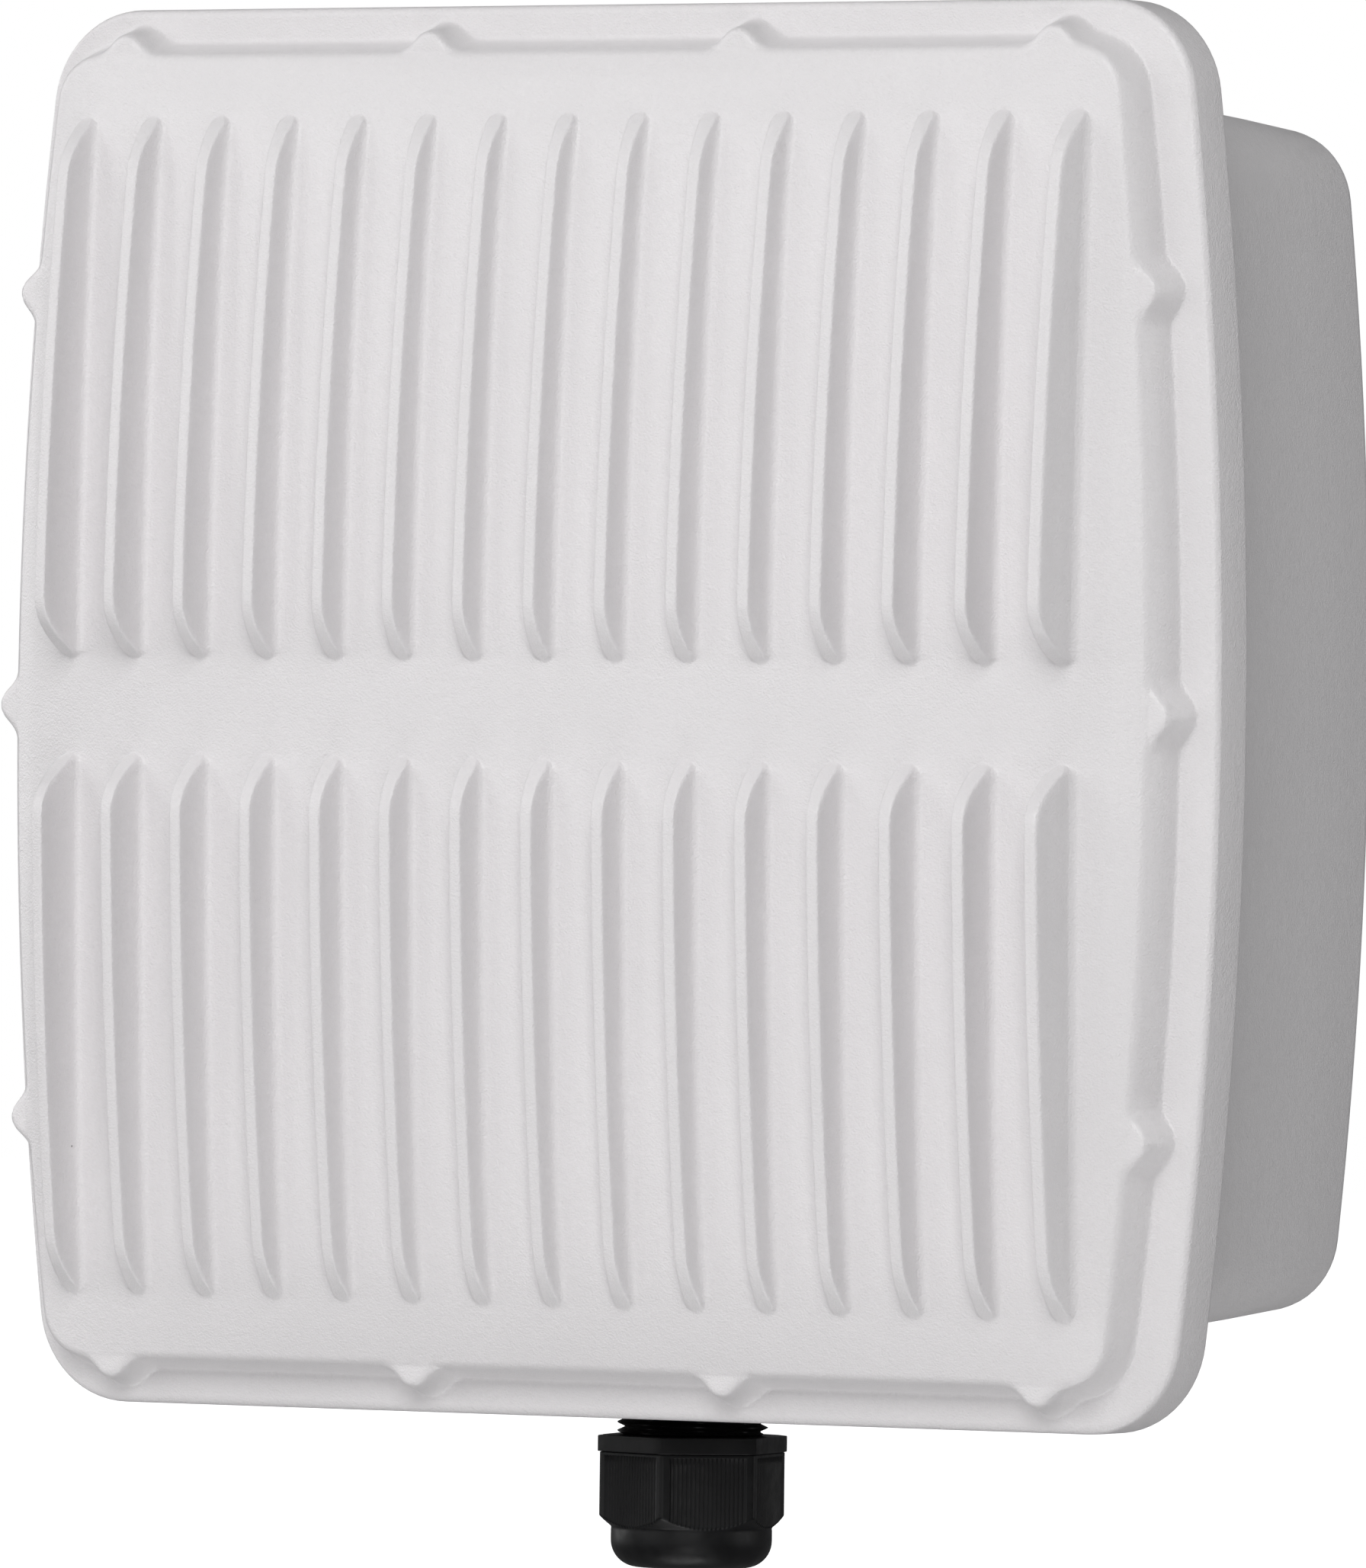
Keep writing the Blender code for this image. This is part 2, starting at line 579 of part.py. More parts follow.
def rear_housing(look):
    """The deep box with its flange, gasket groove, bracket land and the port for the gland."""
    mesh = bmesh.new()
    back = HOUSING_BACK_OUT
    flange_rear = housing_flange_out()
    face = flange_rear + FLANGE_THICKNESS
    edge = SKIRT_WALL + 0.6
    outer_w = COVER_HALF_WIDTH - edge
    outer_h = COVER_HALF_HEIGHT - edge
    outer_r = CORNER_RADIUS - edge
    groove = gasket_seat()
    inner_face = face - 0.6
    rounding = BACK_ROUNDING * (1 - math.sqrt(0.5))
    rings = [
        box_ring(back, BACK_ROUNDING),
        box_ring(back + rounding, rounding),
        box_ring(back + BACK_ROUNDING, 0.0),
        box_ring(flange_rear, 0.0),
        flange_ring(outer_w, outer_h, outer_r, flange_rear),
        flange_ring(outer_w, outer_h, outer_r, face),
        flange_ring(*groove["outer"], face),
        flange_ring(*groove["outer"], face - GROOVE_DEPTH),
        flange_ring(*groove["inner"], face - GROOVE_DEPTH),
        flange_ring(*groove["inner"], inner_face),
        box_ring(inner_face, HOUSING_WALL),
        box_ring(back + HOUSING_WALL + 3.0, HOUSING_WALL),
        box_ring(back + HOUSING_WALL, HOUSING_WALL + 3.0),
    ]
    loft(mesh, rings)
    housing = finish("rear_housing", mesh, look, 30)

    added = bmesh.new()
    land = [(LAND_HALF, -LAND_HALF + 8), (LAND_HALF, LAND_HALF - 8), (LAND_HALF - 8, LAND_HALF),
            (8 - LAND_HALF, LAND_HALF), (-LAND_HALF, LAND_HALF - 8), (-LAND_HALF, 8 - LAND_HALF),
            (8 - LAND_HALF, -LAND_HALF), (LAND_HALF - 8, -LAND_HALF)]
    loft(added, [flat_ring(land, 0.0), flat_ring(land, back + 1.0)])
    for x in (-LAND_BOLT_PITCH / 2, LAND_BOLT_PITCH / 2):
        for z in (-LAND_BOLT_PITCH / 2, LAND_BOLT_PITCH / 2):
            turned(added, (x, z), ((7.0, back + 2.0), (7.0, back + HOUSING_WALL + 3.0)), "Y", FINE)
    turned(added, (0.0, GLAND_OUT), ((PORT_RADIUS, -108.0), (PORT_RADIUS, PORT_BOTTOM)), "Z", ROUND)
    cut(housing, finish("housing_additions_guide", added, None), "UNION")

    removed = bmesh.new()
    for x in (-LAND_BOLT_PITCH / 2, LAND_BOLT_PITCH / 2):
        for z in (-LAND_BOLT_PITCH / 2, LAND_BOLT_PITCH / 2):
            turned(removed, (x, z), ((LAND_BOLT_RADIUS, -1.0), (LAND_BOLT_RADIUS, LAND_BOLT_DEPTH)), "Y",
                   10)
    for place in screw_places():
        turned(removed, place, ((SCREW_HOLE_RADIUS, flange_rear - 1.0), (SCREW_HOLE_RADIUS, face + 1.0)),
               "Y", 10)
    bore = THREAD_RADIUS + GAP
    turned(removed, (0.0, GLAND_OUT), ((bore, -100.0), (bore, PORT_BOTTOM - 1.0)), "Z", ROUND)
    for x in (-ANTENNA_X, ANTENNA_X):
        turned(removed, (x, ANTENNA_OUT), ((ANTENNA_HOLE, -100.0), (ANTENNA_HOLE, -120.0)), "Z", FINE)
    turned(removed, (VENT_X, ANTENNA_OUT), ((VENT_HOLE, -100.0), (VENT_HOLE, -120.0)), "Z", FINE)
    turned(removed, (-VENT_X, ANTENNA_OUT), ((EARTH_HOLE, -100.0), (EARTH_HOLE, -120.0)), "Z", 10)
    cut(housing, finish("housing_holes_guide", removed, None))


def gasket_seat():
    """Half width, half height and corner radius of the groove's two walls."""
    outer_w = HOUSING_HALF_WIDTH + 0.2
    outer_h = HOUSING_HALF_HEIGHT + 2.2
    width = GASKET_WIDTH + 2 * GAP
    return {"outer": (outer_w, outer_h, 15.0), "inner": (outer_w - width, outer_h - width, 15.0 - width)}


def cover_gasket(look):
    """Silicone cord seal in the housing's groove, pressed flat by the cover."""
    mesh = bmesh.new()
    seat = gasket_seat()
    outer = [value - GAP for value in seat["outer"]]
    inner = [value + GAP for value in seat["inner"]]
    low = housing_flange_out() + FLANGE_THICKNESS - GROOVE_DEPTH + GAP
    high = RIM_OUT - RIM_THICKNESS - GAP
    loft(mesh, [flange_ring(*outer, low), flange_ring(*outer, high), flange_ring(*inner, high),
                flange_ring(*inner, low)], closed=True)
    finish("cover_gasket", mesh, look, 30)


# ---------------------------------------------------------------- underside fittings

def wall_bottom(out, inset=0.0):
    """Height of the housing's bottom wall, outside or that far inside it."""
    return -(housing_half(out)[1] - inset)


def antenna_sockets(metal, insulator):
    """Two coaxial panel sockets with their lock nuts and centre insulators."""
    out_face = wall_bottom(ANTENNA_OUT + 10.0) - 0.5
    in_face = wall_bottom(ANTENNA_OUT - 10.0, HOUSING_WALL) + 1.2
    for side, x in (("left", -ANTENNA_X), ("right", ANTENNA_X)):
        centre = (x, ANTENNA_OUT)
        mesh = bmesh.new()
        turned(mesh, centre, (
            (6.0, in_face + 5.0), (6.0, out_face), (10.0, out_face), (10.0, out_face - 2.5),
            (7.9, out_face - 2.5), (7.9, out_face - 12.3), (4.2, out_face - 12.3), (4.2, out_face - 3.0),
            (3.4, out_face - 2.0), (3.4, in_face + 5.0)), "Z", FINE, closed=True)
        finish(f"antenna_socket_{side}", mesh, metal, 35)
        mesh = bmesh.new()
        turned(mesh, centre, (
            (3.1, in_face + 5.0), (3.1, out_face - 1.6), (1.5, out_face - 1.6), (1.5, out_face - 9.5),
            (0.9, out_face - 10.5)), "Z", 12)
        finish(f"antenna_contact_{side}", mesh, insulator, 35)
        mesh = bmesh.new()
        outer = [hexagon(centre, 8.5, height, 0.0) for height in (in_face, in_face + 3.2)]
        inner = [hexagon(centre, 6.3, height, 0.0) for height in (in_face + 3.2, in_face)]
        loft(mesh, outer + inner, closed=True)
        finish(f"antenna_nut_{side}", mesh, metal)


def antenna_leads(look):
    """Thin coaxial leads from the sockets up to the radio card."""
    start_z = wall_bottom(ANTENNA_OUT - 10.0, HOUSING_WALL) + 1.2 + 5.0 + GAP
    for side, sign in (("left", -1), ("right", 1)):
        tip = (sign * 12.0, RADIO_OUT - 3.4, RADIO_Z - 26.5)
        route = [(sign * ANTENNA_X, ANTENNA_OUT, start_z), (sign * ANTENNA_X, ANTENNA_OUT, start_z + 10.0),
                 (sign * (ANTENNA_X - 3.0), ANTENNA_OUT + 1.0, start_z + 24.0),
                 (sign * (ANTENNA_X - 16.0), ANTENNA_OUT + 4.0, start_z + 38.0),
                 (sign * 36.0, ANTENNA_OUT + 8.0, RADIO_Z - 46.0),
                 (sign * 18.0, ANTENNA_OUT + 12.0, RADIO_Z - 40.0),
                 (tip[0], tip[1], tip[2] - 7.0), tip]
        lead(f"antenna_lead_{side}", route, 0.9, look)


def lead(name, route, radius, look):
    """A round lead along a smooth curve through the route's points."""
    data = bpy.data.curves.new(name, "CURVE")
    data.dimensions = "3D"
    data.bevel_depth = radius * MM
    data.bevel_resolution = 1
    data.use_fill_caps = True
    points = smooth_route([at(*point) for point in route], 5)
    spline = data.splines.new("POLY")
    spline.points.add(len(points) - 1)
    for slot, point in zip(spline.points, points):
        slot.co = (*point, 1.0)
    data.materials.append(look)
    made = bpy.data.objects.new(name, data)
    bpy.context.scene.collection.objects.link(made)


def smooth_route(points, steps):
    """Catmull-Rom curve through the points."""
    ends = [points[0] * 2 - points[1]] + points + [points[-1] * 2 - points[-2]]
    curve = []
    for a, b, c, d in zip(ends, ends[1:], ends[2:], ends[3:]):
        for i in range(steps):
            t = i / steps
            curve.append(0.5 * (2 * b + (c - a) * t + (2 * a - 5 * b + 4 * c - d) * t ** 2
                                + (3 * b - a - 3 * c + d) * t ** 3))
    return curve + [points[-1]]


def vent_plug(look):
    """Pressure equalising plug, so that the sealed box can breathe."""
    top = wall_bottom(ANTENNA_OUT, HOUSING_WALL) + 3.0
    face = wall_bottom(ANTENNA_OUT + 8.0) - 0.4
    mesh = bmesh.new()
    turned(mesh, (VENT_X, ANTENNA_OUT), (
        (4.0, top), (4.0, face), (7.5, face), (7.5, face - 3.5), (5.5, face - 5.5)), "Z", FINE)
    finish("pressure_vent", mesh, look, 35)


def earth_terminal(brass, steel):
    """Ground screw and its cup washer under the housing."""
    face = wall_bottom(ANTENNA_OUT + 6.0) - 0.4
    centre = (-VENT_X, ANTENNA_OUT)
    mesh = bmesh.new()
    turned(mesh, centre, ((5.5, face), (5.5, face - 1.2), (2.8, face - 1.2), (2.8, face)), "Z", FINE,
           closed=True)
    finish("earth_washer", mesh, steel, 35)
    mesh = bmesh.new()
    low = face - 1.2 - GAP
    turned(mesh, centre, ((2.4, face + 8.0), (2.4, low), (4.4, low), (4.4, low - 2.4), (3.6, low - 3.2),
                          (1.6, low - 3.2), (1.6, low - 1.4)), "Z", FINE)
    finish("earth_screw", mesh, brass, 35)


# ---------------------------------------------------------------- cable gland

def gland(nylon, rubber):
    centre = (0.0, GLAND_OUT)
    bore = CABLE_BORE
    thread_top = -112.0
    basket_bottom = -146.5

    mesh = bmesh.new()
    hole = THREAD_RADIUS + GAP
    turned(mesh, centre, ((17.2, PORT_BOTTOM - GAP), (17.2, LOCK_NUT_TOP + GAP), (hole, LOCK_NUT_TOP + GAP),
                          (hole, PORT_BOTTOM - GAP)), "Z", ROUND, closed=True)
    finish("gland_seal_ring", mesh, rubber, 35)

    mesh = bmesh.new()
    turned(mesh, centre, ((19.5, LOCK_NUT_TOP), (19.5, LOCK_NUT_BOTTOM), (hole, LOCK_NUT_BOTTOM),
                          (hole, LOCK_NUT_TOP)), "Z", ROUND, closed=True)
    lock_nut = finish("gland_lock_nut", mesh, nylon, 35)
    hex_guide(lock_nut, centre, 17.5, LOCK_NUT_TOP, LOCK_NUT_BOTTOM, 0.0)

    mesh = bmesh.new()
    turned(mesh, centre, (
        (THREAD_RADIUS, thread_top), (THREAD_RADIUS, COLLAR_TOP), (18.4, COLLAR_TOP),
        (18.4, COLLAR_BOTTOM), (12.4, COLLAR_BOTTOM), (12.4, basket_bottom), (10.2, basket_bottom),
        (10.2, thread_top)), "Z", ROUND, closed=True)
    body = finish("gland_body", mesh, nylon, 35)
    hex_guide(body, centre, COLLAR_FLATS_HALF, COLLAR_TOP + 0.001, COLLAR_BOTTOM, NUT_TURN, keep_above=True)

    mesh = bmesh.new()
    turned(mesh, centre, ((9.9, -131.0), (9.9, -146.8), (9.0, -149.6), (bore, -149.6), (bore, -131.0)),
           "Z", ROUND, closed=True)
    finish("gland_cable_seal", mesh, rubber, 35)

    mesh = bmesh.new()
    turned(mesh, centre, ((11.6, -149.9), (11.6, -151.6), (bore + 0.4, -151.6), (bore + 0.4, -149.9)), "Z",
           ROUND, closed=True)
    finish("gland_thrust_ring", mesh, nylon, 35)

    mesh = bmesh.new()
    round_centre = DOME_NUT_RADIUS - DOME_NUT_ROUNDING
    profile = [(17.62, NUT_TOP), (17.62, NUT_CONE_TOP), (DOME_NUT_RADIUS, NUT_CONE_BOTTOM)]
    profile += arc(round_centre, NUT_BOTTOM + DOME_NUT_ROUNDING, DOME_NUT_ROUNDING, 0, -90, 4)
    profile += [(9.0, NUT_BOTTOM), (9.0, -154.5), (11.6, -151.9), (12.8, -150.4), (12.8, NUT_TOP)]
    turned(mesh, centre, profile, "Z", ROUND, closed=True)
    nut = finish("gland_nut", mesh, nylon, 35)
    hex_guide(nut, centre, NUT_FLATS_HALF, NUT_TOP, NUT_BOTTOM, NUT_TURN)


def hex_guide(target, centre, flats_half, top, bottom, turn, keep_above=False):
    """Trim a turned piece to a hexagon by cutting away what lies outside it."""
    mesh = bmesh.new()
    spare = 1.0
    high = top if keep_above else top + spare
    low = bottom - spare
    outer = [circle(centre, 30.0, height, "Z", 6, turn) for height in (high, low)]
    inner = [hexagon(centre, flats_half, height, turn) for height in (low, high)]
    loft(mesh, outer + inner, closed=True)
    cut(target, finish(f"{target.name}_flats_guide", mesh, None))


# ---------------------------------------------------------------- electronics

def plain_block(name, x, out, z, look):
    mesh = bmesh.new()
    block(mesh, x, out, z)
    return finish(name, mesh, look)


def main_board(look):
    """Fibreglass board with its four screw holes."""
    board = plain_block("main_board", (-BOARD_HALF_WIDTH, BOARD_HALF_WIDTH),
                        (BOARD_OUT, BOARD_OUT + BOARD_THICKNESS),
                        (BOARD_Z - BOARD_HALF_HEIGHT, BOARD_Z + BOARD_HALF_HEIGHT), look)
    holes = bmesh.new()
    for place in board_corners():
        turned(holes, place, ((BOARD_HOLE, BOARD_OUT - 1.0), (BOARD_HOLE, BOARD_OUT + 3.0)), "Y", 10)
    turned(holes, (RESET_X, RESET_Z), ((0.8, BOARD_OUT - 1.0), (0.8, BOARD_OUT + 3.0)), "Y", 8)
    cut(board, finish("board_holes_guide", holes, None))


def board_screws(look):
    head = BOARD_OUT - GAP
    for number, place in enumerate(board_corners(), 1):
        mesh = bmesh.new()
        turned(mesh, place, ((1.0, head - 1.0), (1.0, head - 2.2), (2.3, head - 2.2), (2.9, head - 1.4),
                             (2.9, head), (1.5, head), (1.5, head + 11.0)), "Y", 12)
        finish(f"board_screw_{number}", mesh, look, 40)


def front_side_chips(dark, pad):
    """Processor and memory on the cover's side of the board, and the pad that carries their heat away."""
    base = BOARD_OUT + BOARD_THICKNESS + GAP
    z = BOARD_Z
    plain_block("processor", (-13.5, 13.5), (base, base + 2.0), (z - 13.5, z + 13.5), dark)
    plain_block("thermal_pad", (-13.0, 13.0), (base + 2.3, 84.1), (z - 13.0, z + 13.0), pad)
    plain_block("memory_chip_1", (24.0, 35.0), (base, base + 1.2), (z - 2.0, z + 16.0), dark)
    plain_block("memory_chip_2", (39.0, 50.0), (base, base + 1.2), (z - 2.0, z + 16.0), dark)


def radio(board_look, tin, plastic):
    """Radio card in its edge socket, with a shield can."""
    plain_block("radio_card_socket", (-31.0, 31.0), (RADIO_OUT - 1.6, BOARD_OUT - GAP),
                (RADIO_Z + 25.6, RADIO_Z + 32.0), plastic)
    plain_block("radio_card", (-30.0, 30.0), (RADIO_OUT - 1.0, RADIO_OUT), (RADIO_Z - 25.0, RADIO_Z + 25.3),
                board_look)
    plain_block("radio_shield", (-22.0, 22.0), (RADIO_OUT - 4.8, RADIO_OUT - 1.0 - GAP),
                (RADIO_Z - 18.0, RADIO_Z + 20.0), tin)


def network_jack(tin):
    """Shielded eight-way socket on the rear of the board, mouth down."""
    x = JACK_X
    low, high = JACK_BOTTOM, JACK_BOTTOM + 21.0
    rear, front = BOARD_OUT - GAP - 13.5, BOARD_OUT - GAP
    jack = plain_block("network_jack", (x - 8.0, x + 8.0), (rear, front), (low, high), tin)
    mouth = plain_block("jack_mouth_guide", (x - 5.9, x + 5.9), (rear + 2.2, rear + 9.6),
                        (low - 1.0, low + 14.0), None)
    latch = plain_block("jack_latch_guide", (x - 3.1, x + 3.1), (rear + 9.0, rear + 12.0),
                        (low - 1.2, low + 11.0), None)
    cut(jack, mouth)
    cut(jack, latch)


def rear_side_parts(dark, ferrite, sleeve, ceramic):
    """Tall parts on the housing's side of the board."""
    front = BOARD_OUT - GAP
    low = BOARD_Z - BOARD_HALF_HEIGHT
    plain_block("ethernet_transformer", (JACK_X - 9.0, JACK_X + 9.0), (front - 6.5, front),
                (JACK_BOTTOM + 25.0, JACK_BOTTOM + 38.0), dark)
    plain_block("power_transformer", (34.0, 58.0), (front - 17.0, front), (low + 12.0, low + 34.0), ferrite)
    plain_block("power_coil", (64.0, 76.0), (front - 8.0, front), (low + 14.0, low + 26.0), ferrite)
    for number, x in enumerate((60.0, 76.0), 1):
        mesh = bmesh.new()
        turned(mesh, (x, low + 50.0), (
            (6.0, front), (6.0, front - 19.2), (5.4, front - 20.0)), "Y", FINE)
        finish(f"capacitor_{number}", mesh, sleeve, 35)
    for number, x in enumerate((-56.0, -44.0), 1):
        mesh = bmesh.new()
        turned(mesh, (x, low + 20.0), ((4.0, front), (4.0, front - 6.0)), "Y", FINE)
        finish(f"surge_arrester_{number}", mesh, ceramic, 35)


def status_light(look):
    mesh = bmesh.new()
    front = BOARD_OUT - GAP
    profile = [(1.9, front), (1.9, front - 1.0), (1.5, front - 1.0), (1.5, front - 3.6)]
    profile += [(1.1, front - 4.6)]
    turned(mesh, (RESET_X + 14.0, RESET_Z), profile, "Y", 12)
    finish("status_light", mesh, look, 50)


def reset_button(case, cap):
    """Push switch on the rear of the board: a case with a bore, and the plunger that slides in it."""
    front = BOARD_OUT - GAP
    rear = front - 6.0
    body = plain_block("reset_switch", (RESET_X - 4.0, RESET_X + 4.0), (rear, front),
                       (RESET_Z - 4.0, RESET_Z + 4.0), case)
    mesh = bmesh.new()
    turned(mesh, (RESET_X, RESET_Z), ((2.0, rear - 1.0), (2.0, rear + 4.6)), "Y", FINE)
    cut(body, finish("reset_bore_guide", mesh, None))
    mesh = bmesh.new()
    stem = rear + 4.6 - GAP - RESET_TRAVEL
    shoulder = rear - GAP - RESET_TRAVEL
    turned(mesh, (RESET_X, RESET_Z), ((1.6, stem), (1.6, shoulder), (2.5, shoulder), (2.5, rear - 3.6),
                                      (2.0, rear - 4.4)), "Y", FINE)
    finish("reset_plunger", mesh, cap, 40)


# ---------------------------------------------------------------- the whole object

def build():
    clear_scene()
    white = material("powder_coat", (0.80, 0.79, 0.795), 0.55)
    grey_white = material("housing_paint", (0.74, 0.73, 0.735), 0.5)
    nylon = material("black_nylon", (0.012, 0.012, 0.013), 0.38)
    rubber = material("black_rubber", (0.02, 0.02, 0.02), 0.75)
    silicone = material("grey_silicone", (0.22, 0.22, 0.23), 0.7)
    steel = material("stainless_steel", (0.62, 0.61, 0.60), 0.32, 1.0)
    nickel = material("nickel_plate", (0.66, 0.63, 0.58), 0.22, 1.0)
    brass = material("brass", (0.78, 0.57, 0.22), 0.3, 1.0)
    ptfe = material("white_insulator", (0.86, 0.85, 0.82), 0.5)
    fibreglass = material("green_circuit_board", (0.02, 0.14, 0.06), 0.45)
    chip = material("black_epoxy", (0.018, 0.018, 0.02), 0.5)
    moulding = material("moulded_black", (0.022, 0.022, 0.024), 0.45)
    pad = material("thermal_silicone", (0.45, 0.50, 0.62), 0.8)
    tin = material("tin_plate", (0.70, 0.71, 0.72), 0.3, 1.0)
    ferrite = material("ferrite", (0.06, 0.055, 0.05), 0.6)
    sleeve = material("capacitor_sleeve", (0.03, 0.05, 0.13), 0.35)
    ceramic = material("arrester_ceramic", (0.75, 0.72, 0.66), 0.4)
    lead_jacket = material("lead_jacket", (0.03, 0.03, 0.035), 0.45)
    lens = material("light_lens", (0.15, 0.65, 0.2), 0.2)
    red = material("button_red", (0.55, 0.03, 0.02), 0.4)
    front_cover(white)
    cover_screws(steel)
    rear_housing(grey_white)
    cover_gasket(silicone)
    antenna_sockets(nickel, ptfe)
    antenna_leads(lead_jacket)
    vent_plug(nylon)
    earth_terminal(brass, steel)
    gland(nylon, rubber)
    main_board(fibreglass)
    board_screws(steel)
    front_side_chips(chip, pad)
    radio(fibreglass, tin, moulding)
    network_jack(tin)
    rear_side_parts(chip, ferrite, sleeve, ceramic)
    status_light(lens)
    reset_button(moulding, red)


build()
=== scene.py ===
"""Looks for the outdoor wireless access point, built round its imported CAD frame.

Sizes are in millimetres until metres() turns them into the frame's metres. "Out" is the
distance from the wall bracket's face towards the viewer, so out = -Y.
"""

import json
import math

import bmesh
import bpy
import numpy as np
from mathutils import Matrix, Vector
from mathutils.geometry import delaunay_2d_cdt
from mathutils.kdtree import KDTree


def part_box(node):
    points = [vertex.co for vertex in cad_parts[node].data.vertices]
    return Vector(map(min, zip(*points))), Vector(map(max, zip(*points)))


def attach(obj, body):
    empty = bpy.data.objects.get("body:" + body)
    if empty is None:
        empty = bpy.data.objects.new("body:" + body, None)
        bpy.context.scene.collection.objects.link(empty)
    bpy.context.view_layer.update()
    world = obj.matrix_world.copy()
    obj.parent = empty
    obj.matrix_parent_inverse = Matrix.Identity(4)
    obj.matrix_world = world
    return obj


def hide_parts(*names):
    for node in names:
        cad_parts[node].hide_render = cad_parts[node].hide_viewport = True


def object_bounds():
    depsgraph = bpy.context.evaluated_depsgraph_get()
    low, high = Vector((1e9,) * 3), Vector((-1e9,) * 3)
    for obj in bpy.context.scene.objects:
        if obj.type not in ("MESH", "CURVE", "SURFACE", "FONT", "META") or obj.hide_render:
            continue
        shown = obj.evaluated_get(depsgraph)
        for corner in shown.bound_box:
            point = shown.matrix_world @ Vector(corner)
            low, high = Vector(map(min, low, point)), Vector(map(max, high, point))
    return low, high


MM = 0.001
COVER_SCREWS = 14
SCREW_HEAD_HEIGHT = 3.0
SCREW_HALF_PITCH = 0.35

# Front cover, as the CAD has it
COVER_HALF_WIDTH = 130.4
COVER_HALF_HEIGHT = 130.0
SIDE_BOW = 8.9
CORNER_RADIUS = 18.5
RIM_OUT = 98.0
SKIRT_DEPTH = 11.5
SKIRT_WALL = 3.0
RIM_THICKNESS = 4.0
RIM_WIDTH_SIDE = 7.7
RIM_WIDTH_END = 6.5
WALL_RISE = 7.6
WALL_DRAFT = 2.3
PLATEAU_RADIUS = 11.5
PLATEAU_THICKNESS = 4.5
DOME_RISE = 18.0
DOME_SHARE_ACROSS = 0.57
DOME_SHARE_UP = 0.64
ROLL_OFF_POWER = 12
RIB_COLUMNS = 15
RIB_PITCH = 15.05
RIB_INNER_END = 9.0
RIB_OUTER_END = 109.5
RIB_RAMP = 11.0
RIB_CREST_HALF = 1.25
RIB_FOOT_HALF = 1.9
CREST_RISE_END = 16.4
CREST_BULGE = 8.25
LOBE_RADIUS = 4.2
LOBE_REACH = 3.5
LOBE_FILLET = 3.0
RIM_LOBE_RADIUS = 4.9
RIM_LOBE_REACH = 1.7
LEFT_TRIM = 5.2              # how much nearer the middle the rim, flange and box are on the left
SIDE_BOSS_HEIGHTS = (-77.0, 0.0, 77.0)
END_BOSS_PITCH = 65.7
END_BOSS_STEPS = (-1.5, -0.5, 0.5, 1.5)

# Soft edges that the CAD leaves out
RIM_ROUNDING = 1.6
LEFT_ROUNDING = 0.6
SKIRT_LIP_ROUNDING = 0.6
WALL_FOOT_FILLET = 1.1
WALL_TOP_ROUNDING = 1.7
RIB_FOOT_FILLET = 1.9
RIB_CREST_ROUNDING = 0.6
GRID_HALF_X = 108.75         # the ruled part of the cover's mesh, round all the ribs
GRID_HALF_Z = 110.9
END_FIXED_SHARE = 0.8        # of a straight end's half length that the left trim leaves alone
COLLAR_INSET = 4.9           # where the ring-shaped part of the mesh begins, inside the wall's foot
COLLAR_CORNER = 14           # steps round each corner of the ring-shaped part
LATTICE_HALF = 118.5         # points that fill the collar between the ruled part and the ring
LATTICE_STEP = 1.5
LATTICE_GAP = 0.7
MERGE_DISTANCE = 1e-7
BOSS_CLEAR = 7.6             # fine stations replace the even ones this near to a boss
STATION_STEP = 3.0

# Rear housing
HOUSING_HALF_WIDTH = 117.1
HOUSING_HALF_HEIGHT = 114.1
HOUSING_BACK_OUT = 3.0
HOUSING_WALL = 4.0
HOUSING_RADIUS = 15.0
HOUSING_FLANGE_OUT = 88.7
FLANGE_THICKNESS = 5.0
SEAT_HALF_WIDTH = 117.3      # the gasket's seat
SEAT_HALF_HEIGHT = 116.3
SEAT_RADIUS = 15.0
BOX_BOW = 6.6
DRAFT = math.tan(math.radians(2.9))
BACK_ROUNDING = 4.0
LAND_HALF = 62.0
LAND_CHAMFER = 8.0
LAND_BOLT_HALF = 50.0
LAND_BOLT_RADIUS = 2.5
LAND_BOLT_DEPTH = 5.5

# Cable gland
GLAND_OUT = 58.0
THREAD_RADIUS = 14.15
THREAD_ROOT = 12.6
THREAD_PITCH = 1.588
THREAD_TOP = -112.0
PORT_RADIUS = 18.5
PORT_BOTTOM = -122.5
LOCK_NUT_TOP = -125.1
LOCK_NUT_BOTTOM = -129.4
LOCK_NUT_FLATS_HALF = 17.5
LOCK_NUT_CORNER_RADIUS = 19.4
COLLAR_TOP = -134.2
COLLAR_BOTTOM = -137.3
COLLAR_FLATS_HALF = 15.65
COLLAR_CORNER_RADIUS = 17.95
SLEEVE_BOTTOM = -146.5
NUT_TOP = -137.38
NUT_CONE_TOP = -149.1
NUT_CONE_BOTTOM = -151.3
NUT_BOTTOM = -158.8
NUT_FLATS_HALF = 15.25
NUT_CORNER_RADIUS = 17.5
DOME_NUT_RADIUS = 15.0
DOME_NUT_ROUNDING = 5.0
NUT_TURN = math.radians(19.0)
GRIP_PITCH = 0.83
GRIP_DEPTH = 0.26
GRIP_HALF_WIDTH = 7.3

# Camera
VIEW_AZIMUTH = math.radians(30.0)
VIEW_ELEVATION = math.radians(0.092)
VIEW_ROLL = math.radians(0.712)
VIEW_DISTANCE = 3.2152
VIEW_TARGET = Vector((0.019293, -0.098, -0.013201))
LENS = 462.09
SENSOR = 36.0

